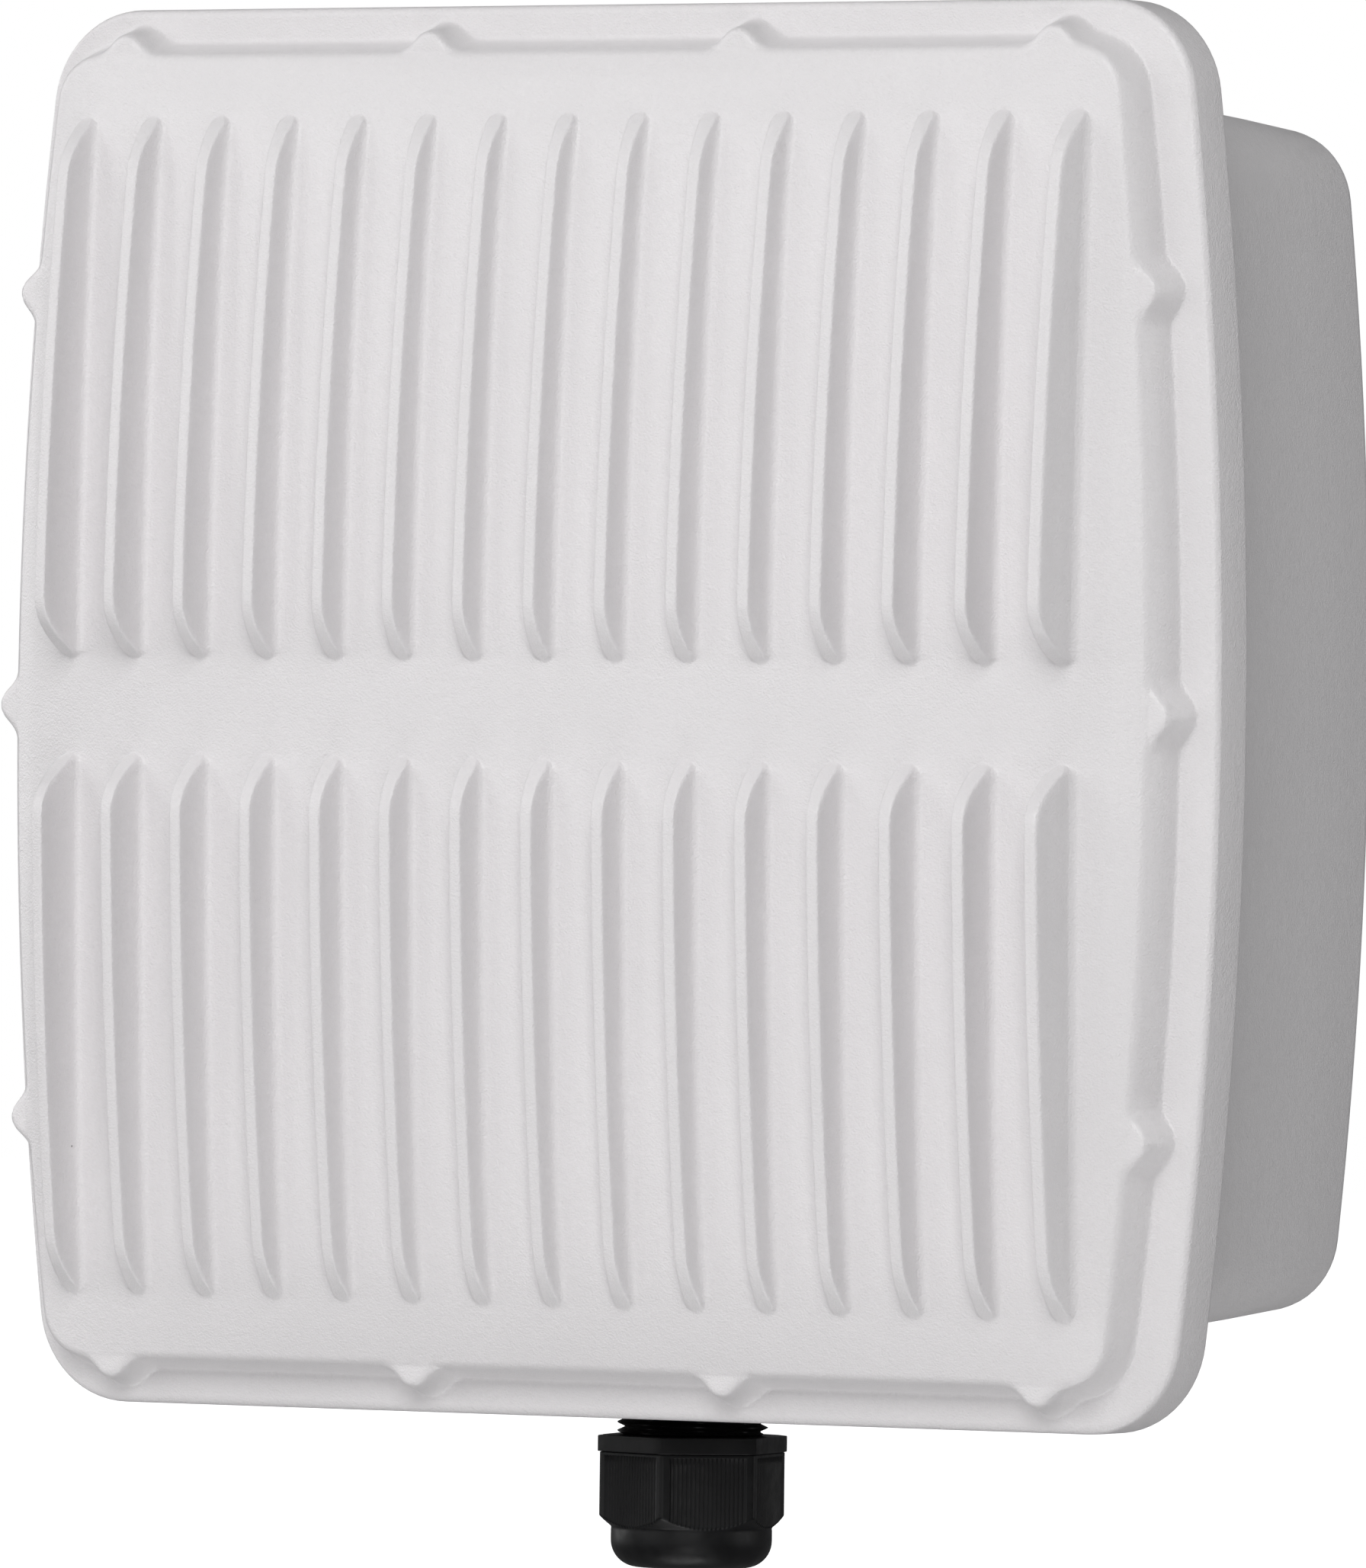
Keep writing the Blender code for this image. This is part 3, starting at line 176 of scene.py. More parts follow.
# Soft boxes: name, azimuth to the right of the front, elevation, watts
LIGHT_TARGET = Vector((0.0, -0.05, 0.0))
LIGHT_DISTANCE = 2.6
LIGHT_SIZE = 1.5
STUDIO_LIGHTS = (
    ("below", 0.0, -80.0, 20.0), ("low_front", 30.0, -35.0, 10.0), ("camera_side", 25.0, 10.0, 10.0),
    ("front_left", -25.0, 5.0, 7.0), ("left", -50.0, 20.0, 9.5), ("far_left", -90.0, 10.0, 15.0),
    ("high_left", -70.0, 50.0, 4.0), ("high_front", 20.0, 35.0, 31.5), ("back_right", 110.0, 10.0, 13.0))
FILL_STRENGTH = 0.13
FLOOR_HALF = 3.0
FLOOR_DROP = 0.012           # below the object's lowest point, clear of the unscrewed nut
FLOOR_STEPS = 8

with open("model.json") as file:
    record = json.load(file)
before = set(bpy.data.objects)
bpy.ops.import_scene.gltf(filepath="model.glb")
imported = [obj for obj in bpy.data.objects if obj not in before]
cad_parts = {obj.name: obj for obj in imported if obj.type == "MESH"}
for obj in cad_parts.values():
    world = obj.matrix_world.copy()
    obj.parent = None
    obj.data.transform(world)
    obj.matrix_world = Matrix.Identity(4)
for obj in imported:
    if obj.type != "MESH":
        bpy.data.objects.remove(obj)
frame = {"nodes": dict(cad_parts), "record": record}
cad_low, cad_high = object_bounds()


# ---------------------------------------------------------------- small helpers

def metres(x, out, z):
    """Arrays of millimetre places as an (n, 3) array in metres."""
    x, out, z = np.broadcast_arrays(x, out, z)
    return np.stack([np.ravel(x), -np.ravel(out), np.ravel(z)], axis=1).astype(float) * MM


class Shell:
    """Collects points and faces for one piece."""

    def __init__(self):
        self.points = []
        self.faces = []
        self.count = 0

    def add(self, points):
        """Adds points and gives their numbers."""
        points = np.asarray(points, float)
        self.points.append(points)
        first = self.count
        self.count += len(points)
        return np.arange(first, self.count)

    def band(self, first, second, closed=True):
        """Quads between two equal rows of point numbers."""
        last = len(first) if closed else len(first) - 1
        a = np.asarray(first)[:last]
        b = np.roll(first, -1)[:last]
        c = np.roll(second, -1)[:last]
        d = np.asarray(second)[:last]
        self.faces += np.stack([a, b, c, d], axis=1).tolist()

    def cap(self, row):
        self.faces.append(list(map(int, row)))

    def join(self, made, flip=False):
        """Bands between rows that follow each other; flip turns their faces over."""
        for first, second in zip(made, made[1:]):
            self.band(*((second, first) if flip else (first, second)))
        return made

    def loft(self, rows, flip=False):
        return self.join([self.add(row) for row in rows], flip)

    def tube(self, rows):
        """A closed ring-shaped piece: the last row meets the first."""
        made = self.loft(rows)
        self.band(made[-1], made[0])

    def build(self, name, node, look, slot, sharp, body="housing"):
        """Makes the piece that stands for a CAD node; edges over sharp degrees stay crisp."""
        data = bpy.data.meshes.new(name)
        data.from_pydata(np.concatenate(self.points).tolist(), [], self.faces)
        data.validate()
        data.shade_smooth()
        data.set_sharp_from_angle(angle=math.radians(sharp))
        data.materials.append(look)
        made = bpy.data.objects.new(name, data)
        bpy.context.scene.collection.objects.link(made)
        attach(made, body)
        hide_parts(node)
        return made


def fall_away(place, share):
    place = np.minimum(1.0, place)
    return 1 - share * place ** 2 - (1 - share) * place ** ROLL_OFF_POWER


def plateau_rise(x, z):
    """Height of the domed plateau above the rim."""
    half_w = COVER_HALF_WIDTH - RIM_WIDTH_SIDE - WALL_DRAFT - SIDE_BOW * (z / COVER_HALF_HEIGHT) ** 2
    half_h = COVER_HALF_HEIGHT - RIM_WIDTH_END - WALL_DRAFT
    across = fall_away(np.abs(x) / half_w, DOME_SHARE_ACROSS)
    up = fall_away(np.abs(z) / half_h, DOME_SHARE_UP)
    return WALL_RISE + (DOME_RISE - WALL_RISE) * across * up


def rounded_step(place, foot, width, height, foot_radius, top_radius):
    """A wall's section: 0 beyond its foot, height well inside it, with a fillet and a rounded edge.

    place falls towards the inside. The wall leans in by width over its height.
    """
    lean = np.arctan2(height, width)
    size = 1 - np.cos(lean)
    fit = np.minimum(1.0, 0.98 * height / np.maximum(1e-6, (foot_radius + top_radius) * size))
    low_r = np.maximum(1e-4, foot_radius * fit)
    top_r = np.maximum(1e-4, top_radius * fit)
    tangent = np.tan(lean / 2)
    low_t = low_r * tangent
    top_t = top_r * tangent
    edge = foot - width
    low_centre = foot + low_t
    top_centre = edge - top_t
    on_low = low_r - np.sqrt(np.maximum(0.0, low_r ** 2 - (place - low_centre) ** 2))
    on_wall = (foot - place) * np.tan(lean)
    on_top = height - top_r + np.sqrt(np.maximum(0.0, top_r ** 2 - (place - top_centre) ** 2))
    step = np.where(place >= low_centre, 0.0, on_low)
    step = np.where(place < foot - low_t * np.cos(lean), on_wall, step)
    step = np.where(place < edge + top_t * np.cos(lean), on_top, step)
    return np.where(place < top_centre, height, step)


def rib_rise(x, z):
    """Height of the ribs above the plateau."""
    column = np.clip(np.round(x / RIB_PITCH), -(RIB_COLUMNS // 2), RIB_COLUMNS // 2)
    off = x - column * RIB_PITCH
    inner = RIB_INNER_END + RIB_FOOT_HALF
    outer = RIB_OUTER_END - RIB_FOOT_HALF
    up = np.abs(z)
    past = np.maximum(0.0, np.maximum(inner - up, up - outer))
    away = np.hypot(off, past)
    reach = np.clip(np.minimum(up - RIB_INNER_END, RIB_OUTER_END - up) / RIB_RAMP, 0.02, 1.0)
    ramp = 1 - (1 - reach) ** 2
    full = CREST_RISE_END + CREST_BULGE * (1 - (z / RIB_OUTER_END) ** 2) - plateau_rise(x - off, z)
    height = full * ramp
    width = (RIB_FOOT_HALF - RIB_CREST_HALF) * ramp + 0.02
    return rounded_step(away, RIB_FOOT_HALF, width, height, RIB_FOOT_FILLET, RIB_CREST_ROUNDING)


def lobe_offset(place, radius, reach):
    """How far a lobe pushes an outline out, at a distance along it from the lobe's middle."""
    total = radius + LOBE_FILLET
    foot = math.sqrt(total ** 2 - (total - reach) ** 2)
    place = np.abs(place)
    fillet = LOBE_FILLET - np.sqrt(np.maximum(0.0, LOBE_FILLET ** 2 - (foot - place) ** 2))
    top = np.sqrt(np.maximum(0.0, radius ** 2 - place ** 2)) - (radius - reach)
    return np.where(place >= foot, 0.0, np.where(place > foot * radius / total, fillet, top))


def outline(half_w, half_h, bow, radius, side, corner, trim=LEFT_TRIM, reach=0.0):
    """A square with bowed sides and round corners, as an (n, 2) array, anticlockwise from lower right.

    side gives the places along each straight run, from -1 to 1; corner is the steps of each corner.
    trim moves the left side in, and reach pushes it out again at its three bosses.
    """
    top = half_h - radius
    for _ in range(6):
        lean = math.atan(2 * bow * top / half_h ** 2)
        top = half_h - radius + radius * math.sin(lean)
    corner_x = half_w - bow * (top / half_h) ** 2 - radius * math.cos(lean)
    corner_z = half_h - radius
    right_z = side["right"] * top
    right = np.stack([half_w - bow * (right_z / half_h) ** 2, right_z], axis=1)
    angle = lean + (math.pi / 2 - lean) * np.arange(1, corner) / corner
    turn = np.stack([corner_x + radius * np.cos(angle), corner_z + radius * np.sin(angle)], axis=1)
    end_x = side["end"][::-1] * corner_x
    end = np.stack([end_x, np.full_like(end_x, half_h)], axis=1)
    flip = np.array([-1.0, 1.0])
    half = np.concatenate([right, turn, end, turn[::-1] * flip])
    points = np.concatenate([half, -half])
    x, z = points[:, 0], points[:, 1]
    start = END_FIXED_SHARE * corner_x
    squeeze = (corner_x - start - trim) / (corner_x - start)
    on_end = np.abs(np.abs(z) - half_h) < 1e-9
    squeezed = np.where(x < -start, -start + (x + start) * squeeze, x)
    moved = np.where(on_end, squeezed, np.where(x < 0, x + trim, x))
    on_left = (x < 0) & (np.abs(z) <= top + 1e-9)
    for boss in SIDE_BOSS_HEIGHTS:
        moved = np.where(on_left, moved - lobe_offset(z - boss, RIM_LOBE_RADIUS, reach), moved)
    return np.stack([moved, z], axis=1)


def even(steps):
    places = np.linspace(-1.0, 1.0, steps + 1)
    return {"right": places, "end": places}


def flat(points, out):
    return metres(points[:, 0], out, points[:, 1])


def circle(radius, sides, start=0.0):
    angle = start + 2 * math.pi * np.arange(sides) / sides
    return np.stack([radius * np.cos(angle), radius * np.sin(angle)], axis=1)


def middle(node):
    """A CAD node's middle x and out, with its top and its lower end, in millimetres."""
    low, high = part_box(node)
    return (low.x + high.x) / 2 / MM, -(low.y + high.y) / 2 / MM, high.z / MM, low.z / MM


def loop_edges(start, count):
    return [(start + i, start + (i + 1) % count) for i in range(count)]


def fill(shell, points, edges, ids, keep, flip=False):
    """Triangles between loops of points that have numbers already, where keep allows the middle."""
    flat_points, _, triangles, origins, _, _ = delaunay_2d_cdt([Vector(p) for p in points], edges, [], 0,
                                                               MERGE_DISTANCE, True)
    for triangle in triangles:
        x = sum(flat_points[i][0] for i in triangle) / len(triangle)
        z = sum(flat_points[i][1] for i in triangle) / len(triangle)
        if keep(x, z):
            face = [ids[origins[i][0]] for i in triangle]
            shell.faces.append(face[::-1] if flip else face)


def arc(centre, radius, start_deg, end_deg, steps):
    """Points of a round in a section, as (across, along) pairs."""
    angle = np.radians(np.linspace(start_deg, end_deg, steps + 1))
    return [(centre[0] + radius * math.cos(a), centre[1] + radius * math.sin(a)) for a in angle]


# ---------------------------------------------------------------- the ribbed cover

def rib_lines():
    """Rulings across the cover, close together at each rib's walls."""
    near = [0.0, 0.45, 0.8, 0.95, 1.08, 1.18, 1.26, 1.36, 1.48, 1.6, 1.72, 1.83, 1.95, 2.1, 2.3,
            2.55, 2.8, 3.1, 3.9, 5.4]
    lines = []
    for k in range(RIB_COLUMNS):
        centre = RIB_PITCH * (k - (RIB_COLUMNS - 1) / 2)
        lines += [centre + side * step for side in (-1, 1) for step in near]
        lines += [centre + RIB_PITCH / 2]
    inside = {round(x, 4) for x in lines if abs(x) < GRID_HALF_X - 0.15}
    return np.array(sorted(inside | {-GRID_HALF_X, GRID_HALF_X}))


def level_lines():
    """Rulings up the cover, close together at the ribs' ends."""
    tip = [-1.2, -0.5, -0.1, 0.1, 0.3, 0.55, 0.85, 1.2, 1.6, 2.1, 2.7, 3.5, 4.5, 5.8, 7.4, 9.2, 11.2, 14.0]
    inner = [RIB_INNER_END + t for t in tip]
    outer = [RIB_OUTER_END - t for t in tip]
    between = np.linspace(RIB_INNER_END + 19.0, RIB_OUTER_END - 19.0, 11).tolist()
    half = sorted(t for t in inner + outer + between + [4.0, GRID_HALF_Z] if t <= GRID_HALF_Z)
    return np.array([-t for t in reversed(half)] + [0.0] + half)


def cover_stations():
    """Places round the plateau's wall, close together at the bosses."""
    fine = np.concatenate([np.arange(-7.2, -4.4, 0.55), np.arange(-4.4, 4.41, 0.4),
                           np.arange(4.95, 7.21, 0.55)])

    def run(length, bosses):
        plain = np.linspace(-length, length, int(round(2 * length / STATION_STEP)) + 1)
        keep = [s for s in plain if all(abs(s - b) > BOSS_CLEAR for b in bosses)]
        places = np.array(sorted(keep + [b + s for b in bosses for s in fine])) / length
        within = places[(places > -1.0) & (places < 1.0)]
        return np.concatenate([[-1.0], within, [1.0]])

    straight = COVER_HALF_HEIGHT - RIM_WIDTH_END - PLATEAU_RADIUS
    across = COVER_HALF_WIDTH - RIM_WIDTH_SIDE - 7.3 - PLATEAU_RADIUS
    ends = [END_BOSS_PITCH * k for k in END_BOSS_STEPS]
    return {"right": run(straight, SIDE_BOSS_HEIGHTS), "end": run(across, ends)}


def boss_centres():
    """Middle of each boss's round, a little inside the wall's foot."""
    foot_w = COVER_HALF_WIDTH - RIM_WIDTH_SIDE
    foot_h = COVER_HALF_HEIGHT - RIM_WIDTH_END
    back = LOBE_RADIUS - LOBE_REACH
    centres = []
    for z in SIDE_BOSS_HEIGHTS:
        x = foot_w - SIDE_BOW * (z / foot_h) ** 2 - back
        centres += [(x, z), (-x, z)]
    for k in END_BOSS_STEPS:
        centres += [(END_BOSS_PITCH * k, foot_h - back), (END_BOSS_PITCH * k, back - foot_h)]
    return np.array(centres)


def wall_share(x, z, tree, base, normals):
    """0 on the rim, 1 on the plateau, following the wall and its bosses."""
    places = np.empty(len(x))
    for i in range(len(x)):
        _, index, _ = tree.find((x[i], z[i], 0.0))
        places[i] = (x[i] - base[index, 0]) * normals[index, 0] + (z[i] - base[index, 1]) * normals[index, 1]
    centres = boss_centres()
    round_off = np.hypot(x[:, None] - centres[None, :, 0], z[:, None] - centres[None, :, 1]).min(axis=1)
    round_off = round_off - LOBE_RADIUS
    first = np.maximum(0.0, LOBE_FILLET - places)
    second = np.maximum(0.0, LOBE_FILLET - round_off)
    joined = np.maximum(LOBE_FILLET, np.minimum(places, round_off)) - np.hypot(first, second)
    joined = np.where(round_off > 12.0, places, joined)
    return rounded_step(joined, 0.0, WALL_DRAFT, WALL_RISE, WALL_FOOT_FILLET, WALL_TOP_ROUNDING) / WALL_RISE


def outward(points):
    """Unit normals of a closed anticlockwise outline."""
    along = np.roll(points, -1, axis=0) - np.roll(points, 1, axis=0)
    along /= np.hypot(along[:, 0], along[:, 1])[:, None]
    return np.stack([along[:, 1], -along[:, 0]], axis=1)


def front_cover(look):
    """Rim, wall with bosses and ribbed plateau as one fine skin, with the hollow behind."""
    shell = Shell()
    xs, zs = rib_lines(), level_lines()
    grid_x, grid_z = np.meshgrid(xs, zs)
    rise = plateau_rise(grid_x, grid_z) + rib_rise(grid_x, grid_z)
    grid = shell.add(metres(grid_x, RIM_OUT + rise, grid_z)).reshape(len(zs), len(xs))
    for low, high in zip(grid, grid[1:]):
        shell.band(low, high, closed=False)

    foot_w = COVER_HALF_WIDTH - RIM_WIDTH_SIDE
    foot_h = COVER_HALF_HEIGHT - RIM_WIDTH_END
    side = cover_stations()
    base = outline(foot_w, foot_h, SIDE_BOW, PLATEAU_RADIUS, side, COLLAR_CORNER, 0.0)
    rim = outline(COVER_HALF_WIDTH, COVER_HALF_HEIGHT, SIDE_BOW, CORNER_RADIUS, side, COLLAR_CORNER,
                  reach=RIM_LOBE_REACH)
    normals = outward(base)
    fine = outline(foot_w, foot_h, SIDE_BOW, PLATEAU_RADIUS, even(700), 60, 0.0)
    fine_normals = outward(fine)
    tree = KDTree(len(fine))
    for i, point in enumerate(fine):
        tree.insert((point[0], point[1], 0.0), i)
    tree.balance()

    steps = np.concatenate([[-COLLAR_INSET, -4.3], np.arange(-3.8, -2.2, 0.25), np.arange(-2.05, 1.4, 0.27),
                            [1.75, 2.1, 2.45, 2.8, 3.1, 3.4, 3.7, 4.05, 4.45]])
    span = np.hypot(*(rim - base).T)
    towards = (rim - base) / span[:, None]
    leftness = np.clip((-100.0 - rim[:, 0]) / 18.0, 0.0, 1.0)
    rounding = (RIM_ROUNDING + (LEFT_ROUNDING - RIM_ROUNDING) * leftness)[:, None]
    room = np.minimum(1.0, (span[:, None] - rounding - 0.05) / steps[-1])
    rows = [base + (normals * step if step < 0 else towards * step * room) for step in steps]
    edge = rim - towards * rounding
    rows += [(rows[-1] + edge) / 2, edge]
    ring_rows = []
    for row in rows:
        share = wall_share(row[:, 0], row[:, 1], tree, fine, fine_normals)
        ring_rows.append(shell.add(metres(row[:, 0], RIM_OUT + share * plateau_rise(row[:, 0], row[:, 1]),
                                          row[:, 1])))

    def inset(distance):
        return outline(COVER_HALF_WIDTH - distance, COVER_HALF_HEIGHT - distance, SIDE_BOW,
                       CORNER_RADIUS - distance, side, COLLAR_CORNER, reach=RIM_LOBE_REACH)

    skirt_out = RIM_OUT - SKIRT_DEPTH
    for angle in (15.0, 33.0, 51.0, 70.0, 90.0):
        a = math.radians(angle)
        row = rim - towards * rounding * (1 - math.sin(a))
        ring_rows.append(shell.add(flat(row, RIM_OUT - rounding[:, 0] * (1 - math.cos(a)))))
    lip = SKIRT_LIP_ROUNDING
    for drop, back in ((lip + 0.5, 0.0), (lip, 0.0), (0.3 * lip, 0.3 * lip), (0.0, lip)):
        ring_rows.append(shell.add(flat(inset(back), skirt_out + drop)))
    shell.join(ring_rows, flip=True)

    collar(shell, grid, grid_x, grid_z, ring_rows[0], rows[0])

    coarse = even(12)
    hollow = []
    roof = RIM_OUT - RIM_THICKNESS
    for distance, out in ((SKIRT_WALL - 0.4, skirt_out), (SKIRT_WALL, skirt_out + 0.5),
                          (SKIRT_WALL, roof - 0.5), (SKIRT_WALL + 0.5, roof)):
        hollow.append(flat(outline(COVER_HALF_WIDTH - distance, COVER_HALF_HEIGHT - distance, SIDE_BOW,
                                   CORNER_RADIUS - distance, coarse, 6), out))
    hollow.append(flat(outline(foot_w - 6.5, foot_h - 6.5, SIDE_BOW, 9.0, coarse, 6), roof))
    for distance in (7.0, 7.5, 9.5, 12.0, 16.0, 24.0, 36.0, 58.0, 80.0, 100.0):
        points = outline(foot_w - distance, foot_h - distance, SIDE_BOW, 8.0, coarse, 6)
        under = RIM_OUT - PLATEAU_THICKNESS + plateau_rise(points[:, 0], points[:, 1])
        if distance == 7.0:
            under = np.full(len(points), roof + 0.4)
        hollow.append(metres(points[:, 0], under, points[:, 1]))
    made = shell.loft(hollow, flip=True)
    shell.cap(made[-1][::-1])
    last = np.array(ring_rows[-1])
    bridge(shell, last, np.concatenate(shell.points)[last], made[0], hollow[0])
    cover_posts(shell)
    return shell.build("ribbed_cover", "front_cover", look, "powder_coat", 62)


def bridge(shell, outer, outer_points, inner, inner_points):
    """Joins two rings that have different numbers of points, walking round both by angle."""
    def turns(points):
        return np.unwrap(np.arctan2(points[:, 2], points[:, 0]))

    a, b = turns(outer_points), turns(inner_points)
    b = b + 2 * math.pi * round((a[0] - b[0]) / (2 * math.pi))
    start = int(np.argmin(np.abs(b - a[0])))
    n, m = len(a), len(b)
    i = j = 0
    while i < n or j < m:
        next_a = a[(i + 1) % n] + 2 * math.pi * ((i + 1) // n)
        at_b = (start + j + 1)
        next_b = b[at_b % m] + 2 * math.pi * (at_b // m)
        low, high = int(outer[i % n]), int(inner[(start + j) % m])
        if i < n and (j >= m or next_a <= next_b):
            shell.faces.append([int(outer[(i + 1) % n]), low, high])
            i += 1
        else:
            shell.faces.append([int(inner[(start + j + 1) % m]), low, high])
            j += 1


def collar(shell, grid, grid_x, grid_z, ring, ring_points):
    """Fills between the ruled rectangle and the ring with triangles that share their points."""
    rows, columns = grid.shape
    index = [(0, j) for j in range(columns)] + [(i, columns - 1) for i in range(1, rows)]
    index += [(rows - 1, j) for j in range(columns - 2, -1, -1)] + [(i, 0) for i in range(rows - 2, 0, -1)]
    inner_ids = [int(grid[i, j]) for i, j in index]
    inner_places = [(grid_x[i, j], grid_z[i, j]) for i, j in index]
    outer_ids = [int(i) for i in ring]
    outer_places = [tuple(p) for p in ring_points]
    places = inner_places + outer_places
    ids = inner_ids + outer_ids
    edges = loop_edges(0, len(inner_places)) + loop_edges(len(inner_places), len(outer_places))
    lattice = []
    half_w = COVER_HALF_WIDTH - RIM_WIDTH_SIDE - COLLAR_INSET
    half_h = COVER_HALF_HEIGHT - RIM_WIDTH_END - COLLAR_INSET
    reach = PLATEAU_RADIUS - COLLAR_INSET
    for x in np.arange(-LATTICE_HALF, LATTICE_HALF + 0.5, LATTICE_STEP):
        for z in np.arange(-LATTICE_HALF, LATTICE_HALF + 0.5, LATTICE_STEP):
            if abs(x) < GRID_HALF_X + LATTICE_GAP and abs(z) < GRID_HALF_Z + LATTICE_GAP:
                continue
            edge_x = half_w - SIDE_BOW * (z / (COVER_HALF_HEIGHT - RIM_WIDTH_END)) ** 2
            over_x, over_z = abs(x) - (edge_x - reach), abs(z) - (half_h - reach)
            past = math.hypot(over_x, over_z) if over_x > 0 and over_z > 0 else max(over_x, over_z)
            if past < reach - LATTICE_GAP:
                lattice.append((x, z))
    xs = np.array([p[0] for p in lattice])
    zs = np.array([p[1] for p in lattice])
    ids += [int(i) for i in shell.add(metres(xs, RIM_OUT + plateau_rise(xs, zs), zs))]
    places += lattice

    def between(x, z):
        in_grid = abs(x) < GRID_HALF_X and abs(z) < GRID_HALF_Z
        return not in_grid and inside(outer_places, x, z)

    fill(shell, places, edges, ids, between)


def inside(loop, x, z):
    """Even-odd test of a point against an outline."""
    a = np.asarray(loop)
    b = np.roll(a, -1, axis=0)
    crosses = (a[:, 1] > z) != (b[:, 1] > z)
    rise = np.where(b[:, 1] == a[:, 1], 1.0, b[:, 1] - a[:, 1])
    return bool(np.count_nonzero(crosses & (x < a[:, 0] + (z - a[:, 1]) * (b[:, 0] - a[:, 0]) / rise)) % 2)


def cover_posts(shell):
    """Board posts and the heat pedestal behind the plateau."""
    for x, z in ((-82.0, 69.0), (82.0, 69.0), (-82.0, -59.0), (82.0, -59.0)):
        profile = [(1.8, 89.0), (1.8, 80.4), (2.2, 79.9), (4.1, 79.9), (4.5, 80.4), (5.0, 100.0),
                   (6.4, 104.5), (9.0, 106.5)]
        made = shell.loft([flat(circle(radius, 20) + np.array([x, z]), out) for radius, out in profile])
        shell.cap(made[0])
    rows = []
    for half, out, radius in ((15.6, 84.4, 1.0), (16.0, 84.8, 1.4), (16.6, 106.0, 2.0), (20.0, 112.0, 5.0)):
        points = outline(half, half, 0.0, radius, even(2), 4, 0.0) + np.array([0.0, 5.0])
        rows.append(flat(points, out))
    made = shell.loft(rows)
    shell.cap(made[0][::-1])


# ---------------------------------------------------------------- the rear housing

def box_ring(out, inset, side, corner):
    """The drafted box's outline at a distance out, moved in by inset."""
    lean = DRAFT * (HOUSING_FLANGE_OUT - out)
    half_w = HOUSING_HALF_WIDTH - lean - inset
    half_h = HOUSING_HALF_HEIGHT - lean - inset
    return outline(half_w, half_h, BOX_BOW, HOUSING_RADIUS - inset, side, corner)


def rear_housing(look):
    """Deep drafted box with rounded back edges, a raised bracket land and the port for the gland."""
    shell = Shell()
    side = even(26)
    corner = 12
    back = HOUSING_BACK_OUT
    rows = []
    for angle in (0, 18, 36, 54, 72, 90):
        a = math.radians(angle)
        inset = BACK_ROUNDING * (1 - math.sin(a))
        rows.append(flat(box_ring(back, inset, side, corner), back + BACK_ROUNDING * (1 - math.cos(a))))
    for out in (30.0, 60.0, 80.0):
        rows.append(flat(box_ring(out, 0.0, side, corner), out))
    for angle in (0, 30, 60, 90):
        a = math.radians(angle)
        grow = 2.0 * (1 - math.cos(a))
        rows.append(flat(box_ring(HOUSING_FLANGE_OUT, -grow, side, corner),
                         HOUSING_FLANGE_OUT - 2.0 + 2.0 * math.sin(a)))
    face = HOUSING_FLANGE_OUT + FLANGE_THICKNESS
    edge = SKIRT_WALL + 0.6
    for inset, out in ((edge + 0.4, HOUSING_FLANGE_OUT), (edge, HOUSING_FLANGE_OUT + 0.4),
                       (edge, face - 0.4), (edge + 0.4, face)):
        rows.append(flat(outline(COVER_HALF_WIDTH - inset, COVER_HALF_HEIGHT - inset, SIDE_BOW,
                                 CORNER_RADIUS - inset, side, corner), out))
    for inset, out in ((0.0, face), (0.0, face - 1.5), (3.2, face - 1.5), (3.2, face - 0.6)):
        rows.append(flat(outline(SEAT_HALF_WIDTH - inset, SEAT_HALF_HEIGHT - inset, SIDE_BOW,
                                 SEAT_RADIUS - inset, side, corner), out))
    wall = HOUSING_WALL
    for inset, out in ((wall - 0.3, face - 0.6), (wall, face - 1.0), (wall, back + wall + 3.0),
                       (wall + 0.9, back + wall + 0.9), (wall + 3.0, back + wall)):
        rows.append(flat(box_ring(out, inset, side, corner), out))
    made = shell.loft(rows)
    shell.cap(made[-1])
    back_face(shell, made[0], box_ring(back, BACK_ROUNDING, side, corner))
    port(shell)
    inner_bosses(shell)
    return shell.build("deep_housing", "rear_housing", look, "housing_paint", 50)


def octagon(half, chamfer, each=6):
    """The bracket land's outline with points along its edges, anticlockwise from lower right."""
    c = half - chamfer
    corners = [(half, -c), (half, c), (c, half), (-c, half),
               (-half, c), (-half, -c), (-c, -half), (c, -half)]
    points = []
    for (x1, z1), (x2, z2) in zip(corners, corners[1:] + corners[:1]):
        points += [(x1 + (x2 - x1) * t / each, z1 + (z2 - z1) * t / each) for t in range(each)]
    return np.array(points)


def planar(shell, outer, outer_places, holes, hole_places):
    """Fills a flat face of the back that has holes, sharing the points already made."""
    loops = [list(map(tuple, outer_places))] + [list(map(tuple, h)) for h in hole_places]
    ids = [int(i) for i in outer] + [int(i) for h in holes for i in h]
    points = []
    edges = []
    for loop in loops:
        edges += loop_edges(len(points), len(loop))
        points += loop

    def open_face(x, z):
        return inside(loops[0], x, z) and not any(inside(hole, x, z) for hole in loops[1:])

    fill(shell, points, edges, ids, open_face, flip=True)


